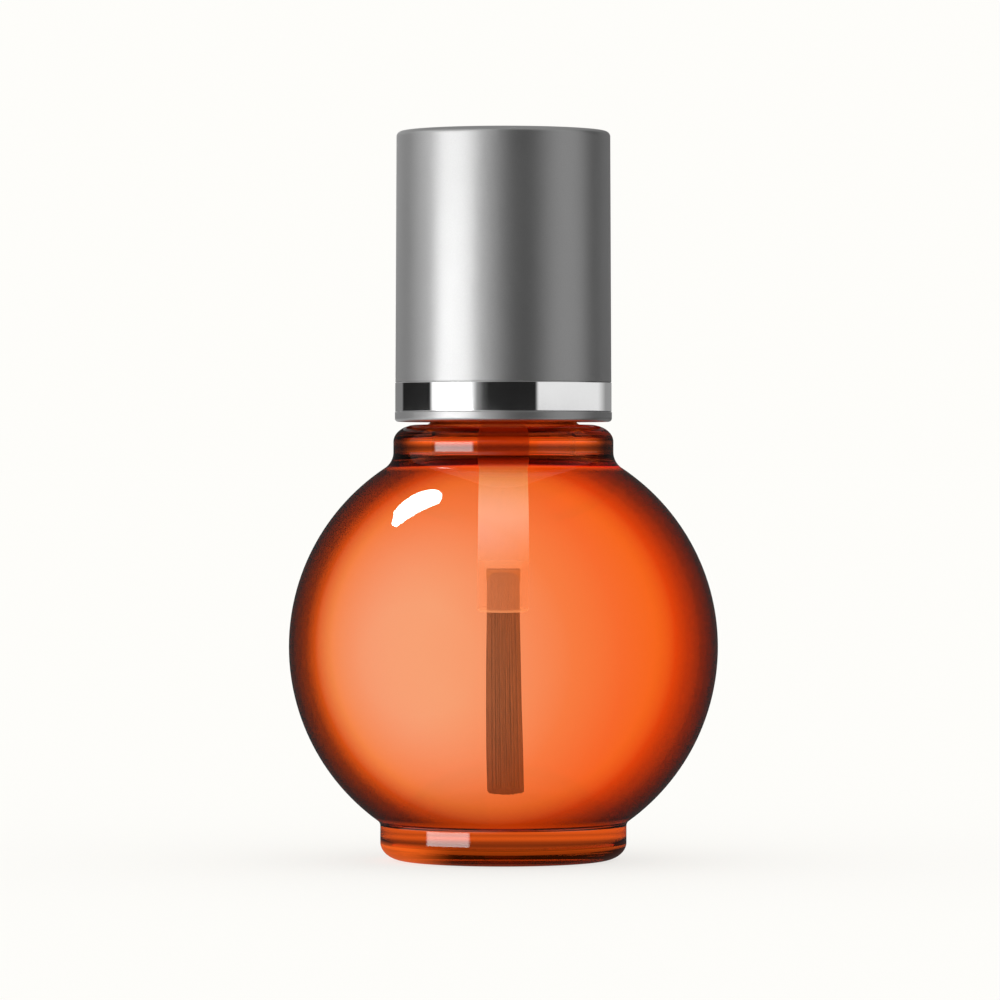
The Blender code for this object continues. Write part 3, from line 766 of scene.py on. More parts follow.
def clear_glass(name, colours, glass, hazy):
    """The bottle's outer skin, painted with the oil's deep tone and with shade at its edge, collar and foot,
    with painted bright bands and a painted glow in its heel.
    """
    material = plain_glass(name, colours)
    tree = material.node_tree
    shader = tree.nodes["Principled BSDF"]
    # Painted shade: the glass is painted deeper and darker where its surface turns away, leaning to one side
    facing = add_node(tree, "ShaderNodeLayerWeight", {"Blend": 0.5}).outputs["Facing"]
    place = add_node(tree, "ShaderNodeTexCoord").outputs["Object"]
    middle = (0.0, 0.0, glass.ball - glass.ball_sink)
    from_middle = add_node(tree, "ShaderNodeVectorMath", {0: place, 1: middle}, operation="SUBTRACT")
    lean = {0: from_middle.outputs[0], 1: PAINTED_SHADE_LEAN}
    leaning = add_node(tree, "ShaderNodeVectorMath", lean, operation="DOT_PRODUCT").outputs["Value"]
    leant = math_of(tree, "ADD", facing, leaning, clamp=True)
    normal = add_node(tree, "ShaderNodeTexCoord").outputs["Normal"]
    upward = add_node(tree, "ShaderNodeSeparateXYZ", {0: normal}).outputs["Z"]
    height = height_of(tree)
    clear = opaque((1.0, 1.0, 1.0))
    edge = ramp_of(tree, leant, EDGE_PAINTED_TONES)
    edge = blend_of(tree, 1.0, edge, ramp_of(tree, leant, EDGE_SHADE), "MULTIPLY")
    painted_ball_tone = blend_of(tree, 1.0, edge, ramp_of(tree, facing, RIM_SHADE), "MULTIPLY")
    shoulder = shoulder_height(glass)
    collar = shoulder - COLLAR_PAINTED_BANDS_DEPTH
    # Painted light and shade in bands up the collar
    painted_collar_bands = ramp_of(tree, share_between(tree, height, collar, shoulder, False), COLLAR_PAINTED_BANDS)
    flat = share_between(tree, upward, *COLLAR_SLOPE)
    sides = blend_of(tree, flat, ramp_of(tree, facing, COLLAR_SHADE), clear)
    foot_top = glass.wall + glass.foot_fillet
    # Painted light and shade in bands up the foot
    streaks = ramp_of(tree, share_between(tree, height, 0.0, foot_top, False), FOOT_PAINTED_BANDS)
    over_foot = share_between(tree, height, foot_top - glass.foot_fillet, foot_top)
    on_collar = share_between(tree, height, collar - glass.foot_fillet, collar)
    shade = blend_of(tree, on_collar, streaks, blend_of(tree, 1.0, painted_collar_bands, sides, "MULTIPLY"))
    # The oil's orange painted on the clear glass of the collar and the foot
    painted_wall_tone = blend_of(tree, 1.0, shade, opaque(colours.glass_wall_painted_tone), "MULTIPLY")
    over_oil = share_between(tree, height, *NECK_TOP_CLEAR)
    painted_wall_tone = blend_of(tree, over_oil, painted_wall_tone, opaque(colours.glass))
    on_ball = math_of(tree, "SUBTRACT", over_foot, on_collar)
    tree.links.new(blend_of(tree, on_ball, painted_wall_tone, painted_ball_tone), shader.inputs["Base Color"])
    matt = 0.0
    for limits in hazy:
        matt = math_of(tree, "ADD", band_mask(tree, height, limits, WALL_FADE), matt)
    matt = math_of(tree, "MULTIPLY", matt, share_between(tree, facing, *HAZE_FACING))
    tree.links.new(math_of(tree, "MULTIPLY", matt, WALL_ROUGHNESS), shader.inputs["Roughness"])
    # Painted glow in the heel, brighter on one side
    side = add_node(tree, "ShaderNodeSeparateXYZ", {0: place}).outputs["X"]
    in_heel = share_between(tree, height, *HEEL_HEIGHTS)
    glow = blend_of(tree, share_between(tree, side, *HEEL_SIDE), opaque(HEEL_PAINTED_DUSK), opaque(HEEL_PAINTED_GLOW))
    glow = blend_of(tree, in_heel, opaque((0.0, 0.0, 0.0)), glow)
    tree.links.new(glow, shader.inputs["Emission Color"])
    shader.inputs["Emission Strength"].default_value = 1.0
    return material


def orange_oil(colours):
    """Clear dyed oil, whose colour comes from the depth of the liquid, with painted light that makes it
    paler on one side.
    """
    material, tree, shader = new_material("orange oil", colours.oil)
    place = add_node(tree, "ShaderNodeTexCoord").outputs["Object"]
    centred = add_node(
        tree,
        "ShaderNodeMapping",
        {"Vector": place, "Location": (-PAINTED_LIGHT_PLACE[0], 0, -PAINTED_LIGHT_PLACE[1]), "Scale": (1.0, 0.0, 1.0)},
    )
    away = add_node(tree, "ShaderNodeVectorMath", {0: centred.outputs[0]}, operation="LENGTH")
    reached = share_between(tree, away.outputs["Value"], *PAINTED_LIGHT_REACH, False)
    # Painted light: the oil's tone is painted paler near the line through the ball
    tone = ramp_of(tree, reached, PAINTED_LIGHT_TONES)
    in_neck = share_between(tree, height_of(tree), *NECK_CLEAR)
    tone = blend_of(tree, in_neck, tone, opaque((1.0, 1.0, 1.0)))
    tree.links.new(tone, shader.inputs["Base Color"])
    shader.inputs["Roughness"].default_value = 0.0
    shader.inputs["Transmission Weight"].default_value = 1.0
    shader.inputs["IOR"].default_value = OIL_IOR
    shader.inputs["Specular Tint"].default_value = opaque(WETTED)
    depth = add_node(tree, "ShaderNodeVolumeAbsorption")
    depth.inputs["Color"].default_value = opaque(colours.oil)
    depth.inputs["Density"].default_value = OIL_DENSITY
    tree.links.new(depth.outputs[0], tree.nodes["Material Output"].inputs["Volume"])
    return material


def satin_aluminium(colours):
    """Fine blasted and anodised metal, a little smoother where it has been held."""
    material, tree, shader = new_material("satin aluminium", colours.satin)
    grain = use_group(tree, surface_grain(), Scale=9000.0, Stretch=1.0, Roughness=0.34, Spread=0.08)
    marks = use_group(tree, handling_marks(), Scale=120.0)
    worn = math_of(tree, "MULTIPLY", marks.outputs["Mask"], SATIN_WEAR)
    tree.links.new(math_of(tree, "ADD", grain.outputs["Roughness"], worn), shader.inputs["Roughness"])
    dark, light = [toned(colours.satin, factor) for factor in SATIN_TONES]
    tree.links.new(blend_of(tree, grain.outputs["Height"], dark, light), shader.inputs["Base Color"])
    tree.links.new(bump_of(tree, grain.outputs["Height"], SATIN_DEPTH), shader.inputs["Normal"])
    shader.inputs["Metallic"].default_value = 1.0
    return material


def polished_metal(colours):
    """Mirror finish with hardly any haze."""
    material, tree, shader = new_material("polished metal", colours.polished)
    grain = use_group(tree, surface_grain(), Scale=6000.0, Stretch=1.0, Roughness=0.03, Spread=0.02)
    marks = use_group(tree, handling_marks(), Scale=220.0)
    haze = math_of(tree, "MULTIPLY", marks.outputs["Mask"], POLISH_HAZE)
    tree.links.new(math_of(tree, "ADD", grain.outputs["Roughness"], haze), shader.inputs["Roughness"])
    shader.inputs["Base Color"].default_value = opaque(colours.polished)
    shader.inputs["Metallic"].default_value = 1.0
    return material


def moulded_plastic(name, rgb, roughness, grain_scale):
    """A moulded plastic with a fine tool grain and slightly cloudy colour."""
    material, tree, shader = new_material(name, rgb)
    look = {"Scale": grain_scale, "Stretch": 1.0, "Roughness": roughness, "Spread": 0.1}
    grain = use_group(tree, surface_grain(), **look)
    clouds = use_group(tree, handling_marks(), Scale=260.0)
    tone = blend_of(tree, clouds.outputs["Mask"], opaque(rgb), toned(rgb, CLOUDY_TONE))
    tree.links.new(tone, shader.inputs["Base Color"])
    tree.links.new(grain.outputs["Roughness"], shader.inputs["Roughness"])
    tree.links.new(bump_of(tree, grain.outputs["Height"], TOOLING_DEPTH), shader.inputs["Normal"])
    shader.inputs["IOR"].default_value = PLASTIC_IOR
    return material


def stem_polyethylene(colours):
    """Milky stem, clearer round the tuft, with a painted glow, and a painted deep tone in the neck, where it
    is seen through the oil.
    """
    rgb = tuple(colours.stem)
    material = moulded_plastic("stem polyethylene", rgb, roughness=0.35, grain_scale=5000.0)
    tree = material.node_tree
    shader = tree.nodes["Principled BSDF"]
    height = height_of(tree)
    up = share_between(tree, height, STEM_FOOT.z, STEM_FOOT.z + STEM_REACH, False)
    solid = add_node(tree, "ShaderNodeRGBToBW", {"Color": ramp_of(tree, up, STEM_SOLID)})
    tree.links.new(solid.outputs[0], shader.inputs["Alpha"])
    # Painted glow and painted shade, only where the stem is seen through the glass and the oil
    in_neck = share_between(tree, height, *STEM_IN_NECK)
    glow = blend_of(tree, in_neck, ramp_of(tree, up, STEM_PAINTED_GLOW), opaque(NECK_PAINTED_GLOW))
    tree.links.new(glow, shader.inputs["Emission Color"])
    in_oil = add_node(tree, "ShaderNodeLightPath").outputs["Is Transmission Ray"]
    tree.links.new(math_of(tree, "MULTIPLY", in_oil, STEM_PAINTED_LIGHT), shader.inputs["Emission Strength"])
    plain = shader.inputs["Base Color"].links[0].from_socket
    seen_in_neck = math_of(tree, "MULTIPLY", in_neck, in_oil)
    painted_neck_tone = opaque([part * tone for part, tone in zip(rgb, NECK_PAINTED_TONE)])
    tree.links.new(blend_of(tree, seen_in_neck, plain, painted_neck_tone), shader.inputs["Base Color"])
    return material


def staple_brass(colours):
    """Flat wire with drawing marks along it."""
    material, tree, shader = new_material("anchor brass", colours.brass)
    grain = use_group(tree, surface_grain(), Scale=9000.0, Stretch=6.0, Roughness=0.3, Spread=0.2)
    tree.links.new(grain.outputs["Roughness"], shader.inputs["Roughness"])
    shader.inputs["Base Color"].default_value = opaque(colours.brass)
    shader.inputs["Metallic"].default_value = 1.0
    return material


def brown_nylon(colours):
    """Level filament, a little lighter and darker from strand to strand, with a painted glow where it is
    seen through the oil.
    """
    material, tree, shader = new_material("brown nylon", colours.bristle)
    place = add_node(tree, "ShaderNodeTexCoord").outputs["Object"]
    streaks = add_node(tree, "ShaderNodeMapping", {"Vector": place, "Scale": NYLON_SCALE})
    noise = add_node(tree, "ShaderNodeTexNoise", {"Vector": streaks.outputs[0], "Scale": 1.0, "Detail": 2.0})
    dark, light = [toned(colours.bristle, factor) for factor in NYLON_TONES]
    tree.links.new(blend_of(tree, noise.outputs[0], dark, light), shader.inputs["Base Color"])
    spread = {0: noise.outputs[0], 1: NYLON_SPREAD, 2: NYLON_ROUGHNESS}
    rough = add_node(tree, "ShaderNodeMath", spread, operation="MULTIPLY_ADD")
    tree.links.new(rough.outputs[0], shader.inputs["Roughness"])
    # Painted glow where the bristles are seen through the oil
    shader.inputs["Emission Color"].default_value = opaque(colours.bristle_painted_glow)
    in_oil = add_node(tree, "ShaderNodeLightPath").outputs["Is Transmission Ray"]
    tree.links.new(in_oil, shader.inputs["Emission Strength"])
    return material


def ridge_height(thread, offset, share_left):
    """Height of the thread's ridge over its wall, at an offset from the ridge's middle."""
    flank = (thread.root - thread.crest) / 2
    rise = (thread.root / 2 - abs(offset)) / flank
    rise = max(0.0, min(1.0, rise))
    soft = rise * rise * (3 - 2 * rise)
    return thread.depth * soft * share_left


def raise_thread(body, thread, wall, outward, bottom, start_turn):
    """Moves the corners of a fine upright wall out to the helical ridge that it carries."""
    for corner in body.verts:
        radius = corner.co.xy.length
        if abs(radius - wall) > WELD:
            continue
        here = math.atan2(corner.co.y, corner.co.x) / FULL_TURN - start_turn
        climbed = (corner.co.z - bottom) / thread.pitch
        turn = here + round(climbed - here)
        for nearby in (turn - 1, turn, turn + 1):
            left = min(1.0, nearby / thread.run_out, (thread.turns - nearby) / thread.run_out)
            if left <= 0:
                continue
            offset = corner.co.z - bottom - thread.pitch * nearby
            height = ridge_height(thread, offset, left)
            if height > 0:
                corner.co.xy *= (radius + outward * height) / radius
                break


def shoulder_height(glass):
    """Height of the flat shoulder under the cap."""
    return SHELL_FOOT.z - glass.shoulder_drop


def thread_bottom(thread):
    """Height of the middle of the neck's ridge at its lower end."""
    return GLASS_TOP.z - thread.top_drop - thread.pitch * thread.turns


def insert_bore(cap):
    """Inside of the insert's skirt, round the thread of the neck."""
    return INSERT_TOP.x - cap.rib - cap.insert_wall


def upright(radius, bottom, top, rows):
    """Points up a wall in even rows, between but without its two ends."""
    return [(radius, bottom + (top - bottom) * row / rows) for row in range(1, rows)]


def cavity_outline(glass, offset):
    """The cavity from the neck's bore down to its floor, moved out into the glass by an offset."""
    ball = glass.ball - glass.wall
    bore = glass.neck - glass.neck_wall
    centre = glass.ball - glass.ball_sink + glass.cavity_raise
    angle = ball_angle(bore, ball, glass.bore_fillet)
    fillet = (bore + glass.bore_fillet, centre + fillet_height(bore, ball, glass.bore_fillet))
    return [
        *round_arc(fillet, glass.bore_fillet - offset, 180, 180 + angle, MIDDLE_ARC_STEPS),
        *fine_arc((0, centre), ball + offset, angle, -90)[1:],
    ]


class BottleOperator(bpy.types.Operator):
    """A step that makes one piece of the bottle."""

    bl_options = {"REGISTER", "UNDO"}


class MakeGlass(BottleOperator):
    """Turns the glass with its foot, ball, collar, neck and cavity, and raises the thread"""

    bl_idname = "oil_bottle.glass"
    bl_label = "Glass"

    def execute(self, context):
        glass = context.scene.bottle_glass
        thread = context.scene.bottle_thread
        centre = glass.ball - glass.ball_sink
        shoulder = shoulder_height(glass)
        rim = GLASS_TOP.z
        bore = glass.neck - glass.neck_wall
        foot_angle = ball_angle(glass.foot, glass.ball, glass.foot_fillet)
        foot_drop = fillet_height(glass.foot, glass.ball, glass.foot_fillet)
        collar_angle = ball_angle(glass.collar, glass.ball, glass.collar_fillet)
        collar_rise = fillet_height(glass.collar, glass.ball, glass.collar_fillet)
        heel = (glass.foot - glass.heel_width, glass.heel_height)
        foot = (glass.foot + glass.foot_fillet, centre - foot_drop)
        collar = (glass.collar + glass.collar_fillet, centre + collar_rise)
        edge = (glass.collar - glass.shoulder_width, shoulder - glass.shoulder_height)
        root = (glass.neck + glass.neck_root, shoulder + glass.neck_root)
        outer_rim = (glass.neck - glass.rim_round, rim - glass.rim_round)
        inner_rim = (bore + glass.rim_round, rim - glass.rim_round)
        recess = glass.foot - glass.heel_width - glass.rest
        outline = [
            *arc((0, 0), recess, glass.recess, 90, 0, RECESS_STEPS),
            *arc(heel, glass.heel_width, glass.heel_height, -90, 0, GLASS_ARC_STEPS),
            *round_arc(foot, glass.foot_fillet, 180, 180 - foot_angle, 2 * SMALL_ARC_STEPS),
            *fine_arc((0, centre), glass.ball, -foot_angle, 0)[1:],
            *fine_arc((0, centre), glass.ball, 0, collar_angle)[1:],
            *round_arc(collar, glass.collar_fillet, 180 + collar_angle, 180, GLASS_ARC_STEPS)[1:],
            *arc(edge, glass.shoulder_width, glass.shoulder_height, 0, 90, GLASS_ARC_STEPS),
            *round_arc(root, glass.neck_root, -90, -180),
            *upright(glass.neck, root[1], outer_rim[1], THREAD_ROWS),
            *round_arc(outer_rim, glass.rim_round, 0, 90),
            *round_arc(inner_rim, glass.rim_round, 90, 180),
            *cavity_outline(glass, 0),
        ]
        body = turned(outline, False, TURN_STEPS)
        raise_thread(body, thread, glass.neck, 1, thread_bottom(thread), 0)
        colours = context.scene.bottle_colours
        material = clear_glass("clear glass outside", colours, glass, GLASS_WALLS)
        item = add_piece("moulded_bottle", body, material, "bottle", "glass_bottle")
        inside = plain_glass("clear glass inside", colours)
        rounds = clear_glass("clear glass rounds", colours, glass, COLLAR_HEIGHTS)
        for dull in (inside, rounds):
            dull.node_tree.nodes["Principled BSDF"].inputs["Specular Tint"].default_value = opaque(WETTED)
            item.data.materials.append(dull)
        for face in item.data.polygons:
            in_ball = (face.center - Vector((0, 0, centre))).length < glass.ball - glass.wall / 2
            in_neck = face.center.z > centre and face.center.xy.length < glass.neck - glass.rim_round
            rounded_off = any(low < face.center.z < high for low, high in ROUNDS)
            face.material_index = ROUND_EDGES if rounded_off else OUTER_SKIN
            if in_ball or in_neck:
                face.material_index = INNER_SKIN
        return {"FINISHED"}


class PourOil(BottleOperator):
    """Fills the cavity with oil up into the neck, with its edge drawn up the glass"""

    bl_idname = "oil_bottle.oil"
    bl_label = "Oil"

    def execute(self, context):
        glass = context.scene.bottle_glass
        oil = context.scene.bottle_oil
        bore = glass.neck - glass.neck_wall
        level = OIL_TOP.z
        meniscus = (bore - oil.meniscus, level + oil.meniscus)
        outline = [
            (0, level),
            *round_arc(meniscus, oil.meniscus, -90, 0),
            (bore + oil.overlap, level + oil.meniscus),
            *cavity_outline(glass, oil.overlap),
        ]
        body = turned(outline, False, TURN_STEPS)
        material = orange_oil(context.scene.bottle_colours)
        add_piece("oil_fill", body, material, "bottle", "oil")
        return {"FINISHED"}


class MakeShell(BottleOperator):
    """Draws the satin shell, with its rounded top, its lip and the groove for the band"""

    bl_idname = "oil_bottle.shell"
    bl_label = "Cap shell"

    def execute(self, context):
        cap = context.scene.bottle_cap
        bottom = SHELL_FOOT.z
        top = SHELL_TOP.z
        lip = SHELL_TOP.x
        foot = lip - cap.lip_proud
        head = foot - cap.draft
        groove_bottom = BAND_FOOT.z - cap.band_gap
        groove_top = BAND_TOP.z + cap.band_gap
        groove = foot - cap.band - cap.band_gap
        over_groove = foot - cap.draft * (groove_top - bottom) / (top - bottom)
        edge = (head - cap.top_round, top - cap.top_round)
        outline = [
            (0, top),
            *round_arc(edge, cap.top_round, 90, 0, MIDDLE_ARC_STEPS),
            (over_groove, groove_top + cap.band_round),
            (over_groove - cap.band_round, groove_top),
            (groove, groove_top),
            (groove, groove_bottom),
            (lip - cap.band_round, groove_bottom),
            (lip, groove_bottom - cap.band_round),
            *round_arc((lip - cap.lip_round, bottom + cap.lip_round), cap.lip_round, 0, -90),
            (foot - cap.shell_wall, bottom),
            (head - cap.shell_wall, top - cap.shell_wall),
            (0, top - cap.shell_wall),
        ]
        body = turned(outline, False, TURN_STEPS)
        material = satin_aluminium(context.scene.bottle_colours)
        add_piece("satin_shell", body, material, "cap", "outer_shell")
        return {"FINISHED"}


class MakeBand(BottleOperator):
    """Rolls the polished band that lies flush in the shell's groove, split at the back"""

    bl_idname = "oil_bottle.band"
    bl_label = "Polished band"

    def execute(self, context):
        cap = context.scene.bottle_cap
        outer = BAND_TOP.x
        inner = outer - cap.band
        corners = [(inner, BAND_FOOT.z), (outer, BAND_FOOT.z), (outer, BAND_TOP.z), (inner, BAND_TOP.z)]
        split = cap.band_split / outer
        start = (math.pi + split) / 2
        body = turned(rounded(corners, cap.band_round), True, TURN_STEPS, FULL_TURN - split, start)
        material = polished_metal(context.scene.bottle_colours)
        add_piece("polished_band", body, material, "cap", "trim_band")
        return {"FINISHED"}


class MakeInsert(BottleOperator):
    """Moulds the insert with its thread, web, socket and the ribs that hold it in the shell"""

    bl_idname = "oil_bottle.insert"
    bl_label = "Moulded insert"

    def execute(self, context):
        cap = context.scene.bottle_cap
        brush = context.scene.bottle_brush
        thread = context.scene.bottle_thread
        wall = INSERT_TOP.x - cap.rib
        bore = insert_bore(cap)
        skirt = wall - cap.upper_wall
        web_bottom = LINER_TOP.z + cap.web_seat
        web_top = web_bottom + cap.web
        socket_bore = brush.spigot + cap.socket_gap
        socket = socket_bore + cap.socket_wall
        mouth = bore + cap.mouth_chamfer
        corners = [
            (wall, INSERT_FOOT.z),
            (wall, INSERT_TOP.z),
            (skirt, INSERT_TOP.z),
            (skirt, web_top),
            (socket, web_top),
            (socket, web_top + cap.socket_height),
            (socket_bore, web_top + cap.socket_height),
            (socket_bore, web_bottom),
            (bore, web_bottom),
            (bore, INSERT_FOOT.z + cap.mouth_chamfer),
            (mouth, INSERT_FOOT.z),
        ]
        outline = rounded(corners, cap.edge_round)
        inner = [place for place in outline if abs(place[0] - bore) < WELD]
        high, low = inner[0], inner[-1]
        at = outline.index(high) + 1
        outline[at:at] = upright(bore, high[1], low[1], THREAD_ROWS)
        body = turned(outline, True, TURN_STEPS)
        middle_of_overlap = (bore - context.scene.bottle_glass.neck) / 2
        narrowing = (thread.root - thread.crest) / thread.depth
        drop = thread.root - narrowing * middle_of_overlap + thread.flank_gap
        bottom = thread_bottom(thread) - drop - thread.pitch * thread.lag
        raise_thread(body, thread, bore, -1, bottom, -thread.lag)
        for corner in body.verts:
            radius = corner.co.xy.length
            if radius > wall - WELD:
                turn = math.atan2(corner.co.y, corner.co.x) / FULL_TURN * cap.ribs
                from_rib = abs(turn - round(turn))
                raised = max(0.0, 1.0 - (from_rib / RIB_SHARE) ** 2)
                corner.co.xy *= (radius + cap.rib * raised) / radius
        rgb = tuple(context.scene.bottle_colours.moulded)
        material = moulded_plastic("white polypropylene", rgb, roughness=0.45, grain_scale=3000.0)
        add_piece("moulded_insert", body, material, "cap", "inner_cap")
        return {"FINISHED"}


class MakeLiner(BottleOperator):
    """Punches the foam ring that seals the rim"""

    bl_idname = "oil_bottle.liner"
    bl_label = "Liner"

    def execute(self, context):
        cap = context.scene.bottle_cap
        outer = LINER_TOP.x
        hole = STEM_TOP.x + (insert_bore(cap) - outer)
        corners = [
            (hole, LINER_FOOT.z),
            (outer, LINER_FOOT.z),
            (outer, LINER_TOP.z),
            (hole, LINER_TOP.z),
        ]
        body = turned(rounded(corners, cap.edge_round), True, TURN_STEPS)
        rgb = tuple(context.scene.bottle_colours.foam)
        material = moulded_plastic("liner foam", rgb, roughness=0.85, grain_scale=2600.0)
        add_piece("foam_liner", body, material, "liner", "seal_liner")
        return {"FINISHED"}


class MakeStem(BottleOperator):
    """Moulds the stem with its barbed head, its flange and the bore for the tuft"""

    bl_idname = "oil_bottle.stem"
    bl_label = "Stem"

    def execute(self, context):
        cap = context.scene.bottle_cap
        brush = context.scene.bottle_brush
        flange_top = LINER_TOP.z
        flange_bottom = flange_top - brush.flange
        barb_bottom = STEM_TOP.z - brush.barb
        barb = brush.spigot + cap.socket_gap + brush.barb_overhang
        bore_end = max(TUFT_TOP.z, STAPLE_TOP.z) + brush.bore_gap
        end = (brush.stem - brush.end_round, STEM_FOOT.z + brush.end_round)
        body_corners = [
            (barb - brush.barb_narrowing, STEM_TOP.z),
            (barb, barb_bottom),
            (brush.spigot, barb_bottom),
            (brush.spigot, flange_top),
            (STEM_TOP.x, flange_top),
            (STEM_TOP.x, flange_bottom),
            (brush.stem, flange_bottom),
        ]
        outline = [
            (0, STEM_TOP.z),
            *rounded(body_corners, cap.edge_round, closed=False),
            *round_arc(end, brush.end_round, 0, -90),
            (brush.bore, STEM_FOOT.z),
            (brush.bore, bore_end),
            (0, bore_end),
        ]
        body = turned(outline, False, STEM_STEPS)
        material = stem_polyethylene(context.scene.bottle_colours)
        add_piece("moulded_stem", body, material, "cap", "brush_stem")
        return {"FINISHED"}


class MakeBrush(BottleOperator):
    """Sets the tuft of nylon filaments and the flat wire that anchors it"""

    bl_idname = "oil_bottle.brush"
    bl_label = "Brush"

    def execute(self, context):
        colours = context.scene.bottle_colours
        brush = context.scene.bottle_brush
        add_piece("filament_tuft", filaments(brush), brown_nylon(colours), "cap", "bristles")
        low = Vector(STAPLE_FOOT)
        size = Vector(STAPLE_TOP) - low
        plate = bmesh.new()
        bmesh.ops.create_cube(plate, size=1)
        bmesh.ops.scale(plate, vec=size, verts=plate.verts)
        bmesh.ops.translate(plate, vec=low + size / 2, verts=plate.verts)
        bmesh.ops.bevel(
            plate,
            geom=plate.edges,
            offset=size.y * WIRE_ROUND_SHARE,
            segments=WIRE_ROUND_STEPS,
            profile=0.5,
            affect="EDGES",
            material=-1,
        )
        add_piece("anchor_wire", plate, staple_brass(colours), "cap", "bristle_staple")
        return {"FINISHED"}


def lattice_place(row, column, spacing):
    """Where a filament of a row and column stands in the closely packed tuft."""
    return Vector((spacing * (column + 0.5 * (row % 2)), spacing * row * math.sqrt(3) / 2))


def filaments(brush):
    """Six-sided filaments side by side, from their fold in the stem down to the cut tips."""
    draw = random.Random(FILAMENT_SEED)
    spacing = brush.strand + brush.strand_space
    rows = math.ceil(brush.tuft / spacing) + 1
    turn = Matrix.Rotation(math.radians(FILAMENT_TURN), 4, "Z")
    tuft = bmesh.new()
    seeds = {}
    for row in range(-rows, rows + 1):
        for column in range(-rows, rows + 1):
            place = lattice_place(row, column, spacing)
            if place.length > brush.tuft - brush.strand / 2:
                continue
            seeds[row, column] = (draw.uniform(-1, 1), draw.uniform(-1, 1), draw.random())
            bmesh.ops.create_circle(
                tuft,
                cap_ends=True,
                segments=FILAMENT_SIDES,
                radius=brush.strand / 2,
                matrix=Matrix.Translation((*place, 0)) @ turn,
            )
    ends = list(tuft.faces)
    for before, after in zip(FILAMENT_LEVELS, FILAMENT_LEVELS[1:]):
        edges = {edge for face in ends for edge in face.edges}
        raised = bmesh.ops.extrude_face_region(tuft, geom=[*ends, *edges])["geom"]
        ends = [item for item in raised if isinstance(item, bmesh.types.BMFace)]
        corners = [item for item in raised if isinstance(item, bmesh.types.BMVert)]
        bmesh.ops.translate(tuft, vec=(0, 0, after - before), verts=corners)
    for corner in tuft.verts:
        row = round(corner.co.y / (spacing * math.sqrt(3) / 2))
        column = round(corner.co.x / spacing - 0.5 * (row % 2))
        place = lattice_place(row, column, spacing)
        corner.co = filament_place(brush, place, corner.co.xy - place, corner.co.z, seeds[row, column])
    bmesh.ops.recalc_face_normals(tuft, faces=tuft.faces)
    return tuft


def filament_place(brush, middle, offset, level, seed):
    """Place of a filament's corner at a share of its length, from the fold in the stem to the tip."""
    spread = TUFT_TOP.x / brush.tuft
    top = TUFT_TOP.z - brush.fold * (middle.length / brush.tuft) ** FOLD_POWER
    bottom = TUFT_FOOT.z + brush.uneven * seed[2]
    outside = max(0.0, (level - STEM_SHARE) / (1 - STEM_SHARE))
    swell = 1 + (spread - 1) * outside
    narrow = TIP_SHARE if level == 1.0 else 1.0
    sway = brush.strand * SWAY_SHARE * math.sin(math.pi * outside)
    place = middle * swell + offset * narrow + Vector(seed[:2]) * sway
    place.x += brush.lean * outside * outside
    return (*place, top + (bottom - top) * level)


class SetStage(BottleOperator):
    """Lays the pale floor and sets the soft studio light and the camera"""

    bl_idname = "oil_bottle.stage"
    bl_label = "Stage"

    def execute(self, context):
        stage = context.scene.bottle_stage
        add_floor(stage)
        light_world(stage)
        add_camera(stage)
        context.scene.view_settings.view_transform = "Standard"
        return {"FINISHED"}


def add_floor(stage):
    """A pale matt floor, which mirrors see through, so that they show the studio under the table."""
    disc = bmesh.new()
    bmesh.ops.create_circle(disc, cap_ends=True, segments=FLOOR_STEPS, radius=stage.floor)
    bmesh.ops.translate(disc, vec=(0, 0, -stage.floor_drop), verts=disc.verts)
    mesh = bpy.data.meshes.new("floor")
    disc.to_mesh(mesh)
    disc.free()
    material, tree, shader = new_material("pale_floor", stage.backdrop)
    shader.inputs["Base Color"].default_value = opaque(stage.backdrop)
    shader.inputs["Roughness"].default_value = 1.0
    shader.inputs["Specular IOR Level"].default_value = 0.0
    path = add_node(tree, "ShaderNodeLightPath")
    through_glass = math_of(tree, "SUBTRACT", 1.0, path.outputs["Is Transmission Ray"])
    mirrored = math_of(tree, "MULTIPLY", path.outputs["Is Glossy Ray"], through_glass)
    clear = tree.nodes.new("ShaderNodeBsdfTransparent")
    mixed = tree.nodes.new("ShaderNodeMixShader")
    glow = add_node(tree, "ShaderNodeEmission", {"Color": opaque(stage.backdrop)})
    lifted = tree.nodes.new("ShaderNodeMixShader")
    lift = math_of(tree, "MULTIPLY", path.outputs["Is Camera Ray"], stage.shadow_lift)
    lift = math_of(tree, "MAXIMUM", lift, path.outputs["Is Transmission Ray"])
    tree.links.new(lift, lifted.inputs[0])
    tree.links.new(shader.outputs[0], lifted.inputs[1])
    tree.links.new(glow.outputs[0], lifted.inputs[2])
    tree.links.new(mirrored, mixed.inputs[0])
    tree.links.new(lifted.outputs[0], mixed.inputs[1])
    tree.links.new(clear.outputs[0], mixed.inputs[2])
    tree.links.new(mixed.outputs[0], tree.nodes["Material Output"].inputs["Surface"])
    mesh.materials.append(material)
    floor = bpy.data.objects.new("floor", mesh)
    bpy.context.scene.collection.objects.link(floor)


def by_compass(tree, turn, panels, interpolation):
    """Share of the panels' light by compass angle in degrees, where 0 is towards the camera."""
    stops = [(angle / 360 + 0.5, light / PANEL_LIGHT) for angle, light in panels]
    return ramp_of(tree, turn, stops, interpolation)


def cone_mask(tree, way, axis, angle):
    """1 inside a cone round an axis, fading to 0 at its angle in degrees."""
    along = add_node(tree, "ShaderNodeVectorMath", {0: way, 1: axis}, operation="DOT_PRODUCT")
    low = math.cos(math.radians(angle + SOFTBOX_FADE))
    high = math.cos(math.radians(angle - SOFTBOX_FADE))
    return share_between(tree, along.outputs["Value"], low, high)


